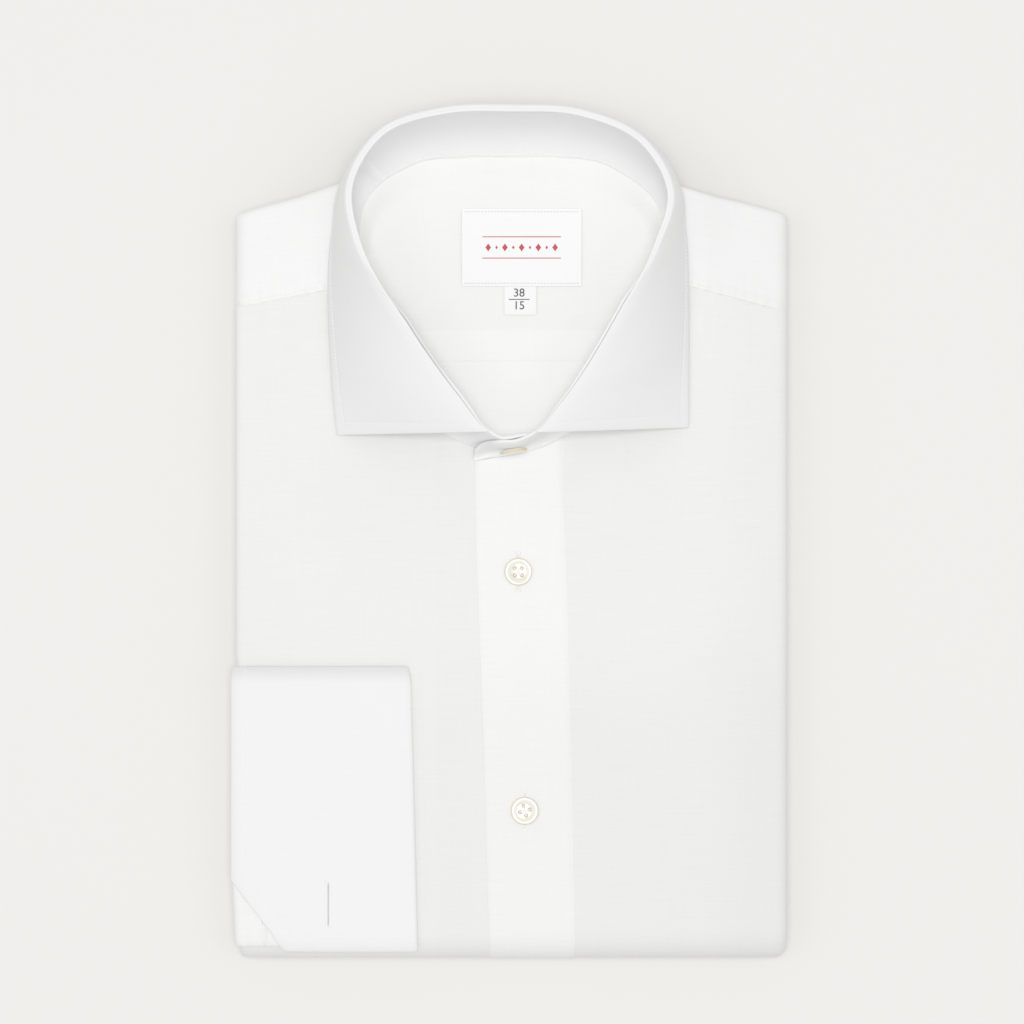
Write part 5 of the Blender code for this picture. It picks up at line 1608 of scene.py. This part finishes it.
def label_row(side):
    """Finer grains along the label's bottom edge, side -1, or its top edge, side 1."""
    x, y, width, height = NECK_LABEL
    points = np.column_stack([np.linspace(x - width / 2 + 0.8, x + width / 2 - 0.8, 60),
                              np.full(60, y + side * (height / 2 - 1.1)), np.full(60, LABEL_Z + 0.16)])
    return grains(*resampled(points, np.tile([0.0, 0.0, 1.0], (60, 1)), 1.3), 0.95, 0.15)


stitch_piece("label_stitches", [label_row(side) for side in (-1, 1)], label_thread)

# %% Buttonholes
def buttonhole(x0, low, high, level, reach, pitch=0.42):
    """Satin lips on both sides of a slit along y, and a bar across each end."""
    made = []
    y = np.arange(low, high, pitch)
    for side in (-1.0, 1.0):
        x = np.full_like(y, x0 + side * (0.30 + reach / 2))
        points = body(x, y - AXIS_Y, level(x, y))
        run = np.tile([side, 0.0, 0.0], (len(y), 1))
        made.append(grains(points, run, np.tile([0.0, 0.0, 1.0], (len(y), 1)), reach, 0.20, 0.16, 0.25))
    for end, away in ((low, -1.0), (high, 1.0)):
        for k in range(3):
            y = end + away * (0.25 + 0.32 * k)
            points = body(np.array([x0]), np.array([y - AXIS_Y]), level(np.array([x0]), np.array([y])))
            run, square = np.array([[1.0, 0.0, 0.0]]), np.array([[0.0, 0.0, 1.0]])
            made.append(grains(points, run, square, 2.6, 0.22, 0.20, 0.25))
    return made


def placket_level(x, y):
    """Lift of the placket's face at a place."""
    return PLACKET_LIFT + pressed(x, y)


def cuff_level(x, y):
    """Lift of the cuff's face at a place."""
    return cuff_lift(x, y - AXIS_Y)[0]


def slit_shade(name, x0, low, high, level):
    """The dark inside of a cut: a slim pointed blade of shade lying between its lips."""
    t = np.linspace(0.0, 1.0, 13)
    wide = 0.30 * np.sin(math.pi * t) ** 0.6 + 0.02
    y = low + 0.4 + (high - low - 0.8) * t
    z = float(body(np.array([x0]), np.array([(low + high) / 2 - AXIS_Y]), level - 0.28)[0, 2])
    outline = np.concatenate([np.column_stack([x0 + wide, y]), np.column_stack([x0 - wide, y])[::-1]])
    finish_piece(make_object(name, *raised_shape(outline, z, 0.1), smooth=False), hole_shade)


holes_made = []
for x, y in FRONT_BUTTONS:
    holes_made += buttonhole(x, y - HOLE_HALF, y + HOLE_HALF, placket_level, 0.95)
stitch_piece("placket_buttonholes", holes_made)
stitch_piece("cuff_buttonhole", buttonhole(*CUFF_HOLE, cuff_level, 1.0))
hole_y = (CUFF_HOLE[1] + CUFF_HOLE[2]) / 2
slit_shade("cuff_slit", *CUFF_HOLE, float(cuff_level(np.array(CUFF_HOLE[0]), np.array(hole_y))))

# %% [markdown]
# ## Floor, light and camera
#
# The shirt lies on a plain pale table. An even white surround fills the hollows, one soft light hangs almost straight
# above, and a weaker one stands on each side. The camera looks straight down through a long lens, so that the package
# shows hardly any of its sides.

# %% Floor
TABLE = (0.738, 0.729, 0.701)


def floor():
    """A plain square table top, eight metres wide, at height 0."""
    mesh = bpy.data.meshes.new("floor")
    edge = 4.0
    corners = [(-edge, -edge, 0.0), (edge, -edge, 0.0), (edge, edge, 0.0), (-edge, edge, 0.0)]
    mesh.from_pydata(corners, [], [(0, 1, 2, 3)])
    made = bpy.data.objects.new("floor", mesh)
    bpy.context.scene.collection.objects.link(made)
    mesh.materials.append(new_material("pale_table", 0.9, 0.1, TABLE)[0])
    made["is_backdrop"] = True


floor()

# %% Light
world = bpy.data.worlds.new("studio")
world.use_nodes = True
surround = world.node_tree.nodes["Background"]
surround.inputs["Color"].default_value = (1.0, 1.0, 1.0, 1.0)
surround.inputs["Strength"].default_value = 0.53
bpy.context.scene.world = world


def soft_light(name, place, size, power):
    """A square lamp that faces the middle of the shirt. Place and size are in metres, power in watts."""
    lamp = bpy.data.lights.new(name, "AREA")
    lamp.shape, lamp.size, lamp.energy = "SQUARE", size, power
    made = bpy.data.objects.new(name, lamp)
    bpy.context.scene.collection.objects.link(made)
    axes = axes_to(place, (0.0, 1.0, 0.1))
    made.matrix_world = Matrix([[*axes[:, row], place[row]] for row in range(3)] + [[0.0, 0.0, 0.0, 1.0]])
    print(f"{name} light: {power} watts")


soft_light("overhead", (-0.02, 0.06, 2.3), 0.6, 25.4)
soft_light("left", (-1.0, 0.0, 2.0), 0.9, 3.4)
soft_light("right", (1.0, 0.0, 2.0), 0.9, 2.9)

# %% Camera
CAMERA_PLACE = (0.0002, 0.0093, 1.520)
SENSOR = 36.0  # width of the sensor
REACH, VIEW = 1500.0, 404.48  # a distance below the camera, and the width of the square it sees there
camera_data = bpy.data.cameras.new("camera")
camera_data.sensor_width = SENSOR
camera_data.lens = SENSOR * REACH / VIEW
camera = bpy.data.objects.new("camera", camera_data)
camera.location = CAMERA_PLACE
bpy.context.scene.collection.objects.link(camera)
bpy.context.scene.camera = camera
bpy.context.scene.view_settings.view_transform = "Standard"
bpy.context.scene.view_settings.gamma = 1.5

# %% [markdown]
# ## Size
#
# The box round everything shown but the floor is worked out and printed.

# %% Size and finish
low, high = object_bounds()
print("dressed:", [round(v, 4) for v in (*low, *high)])
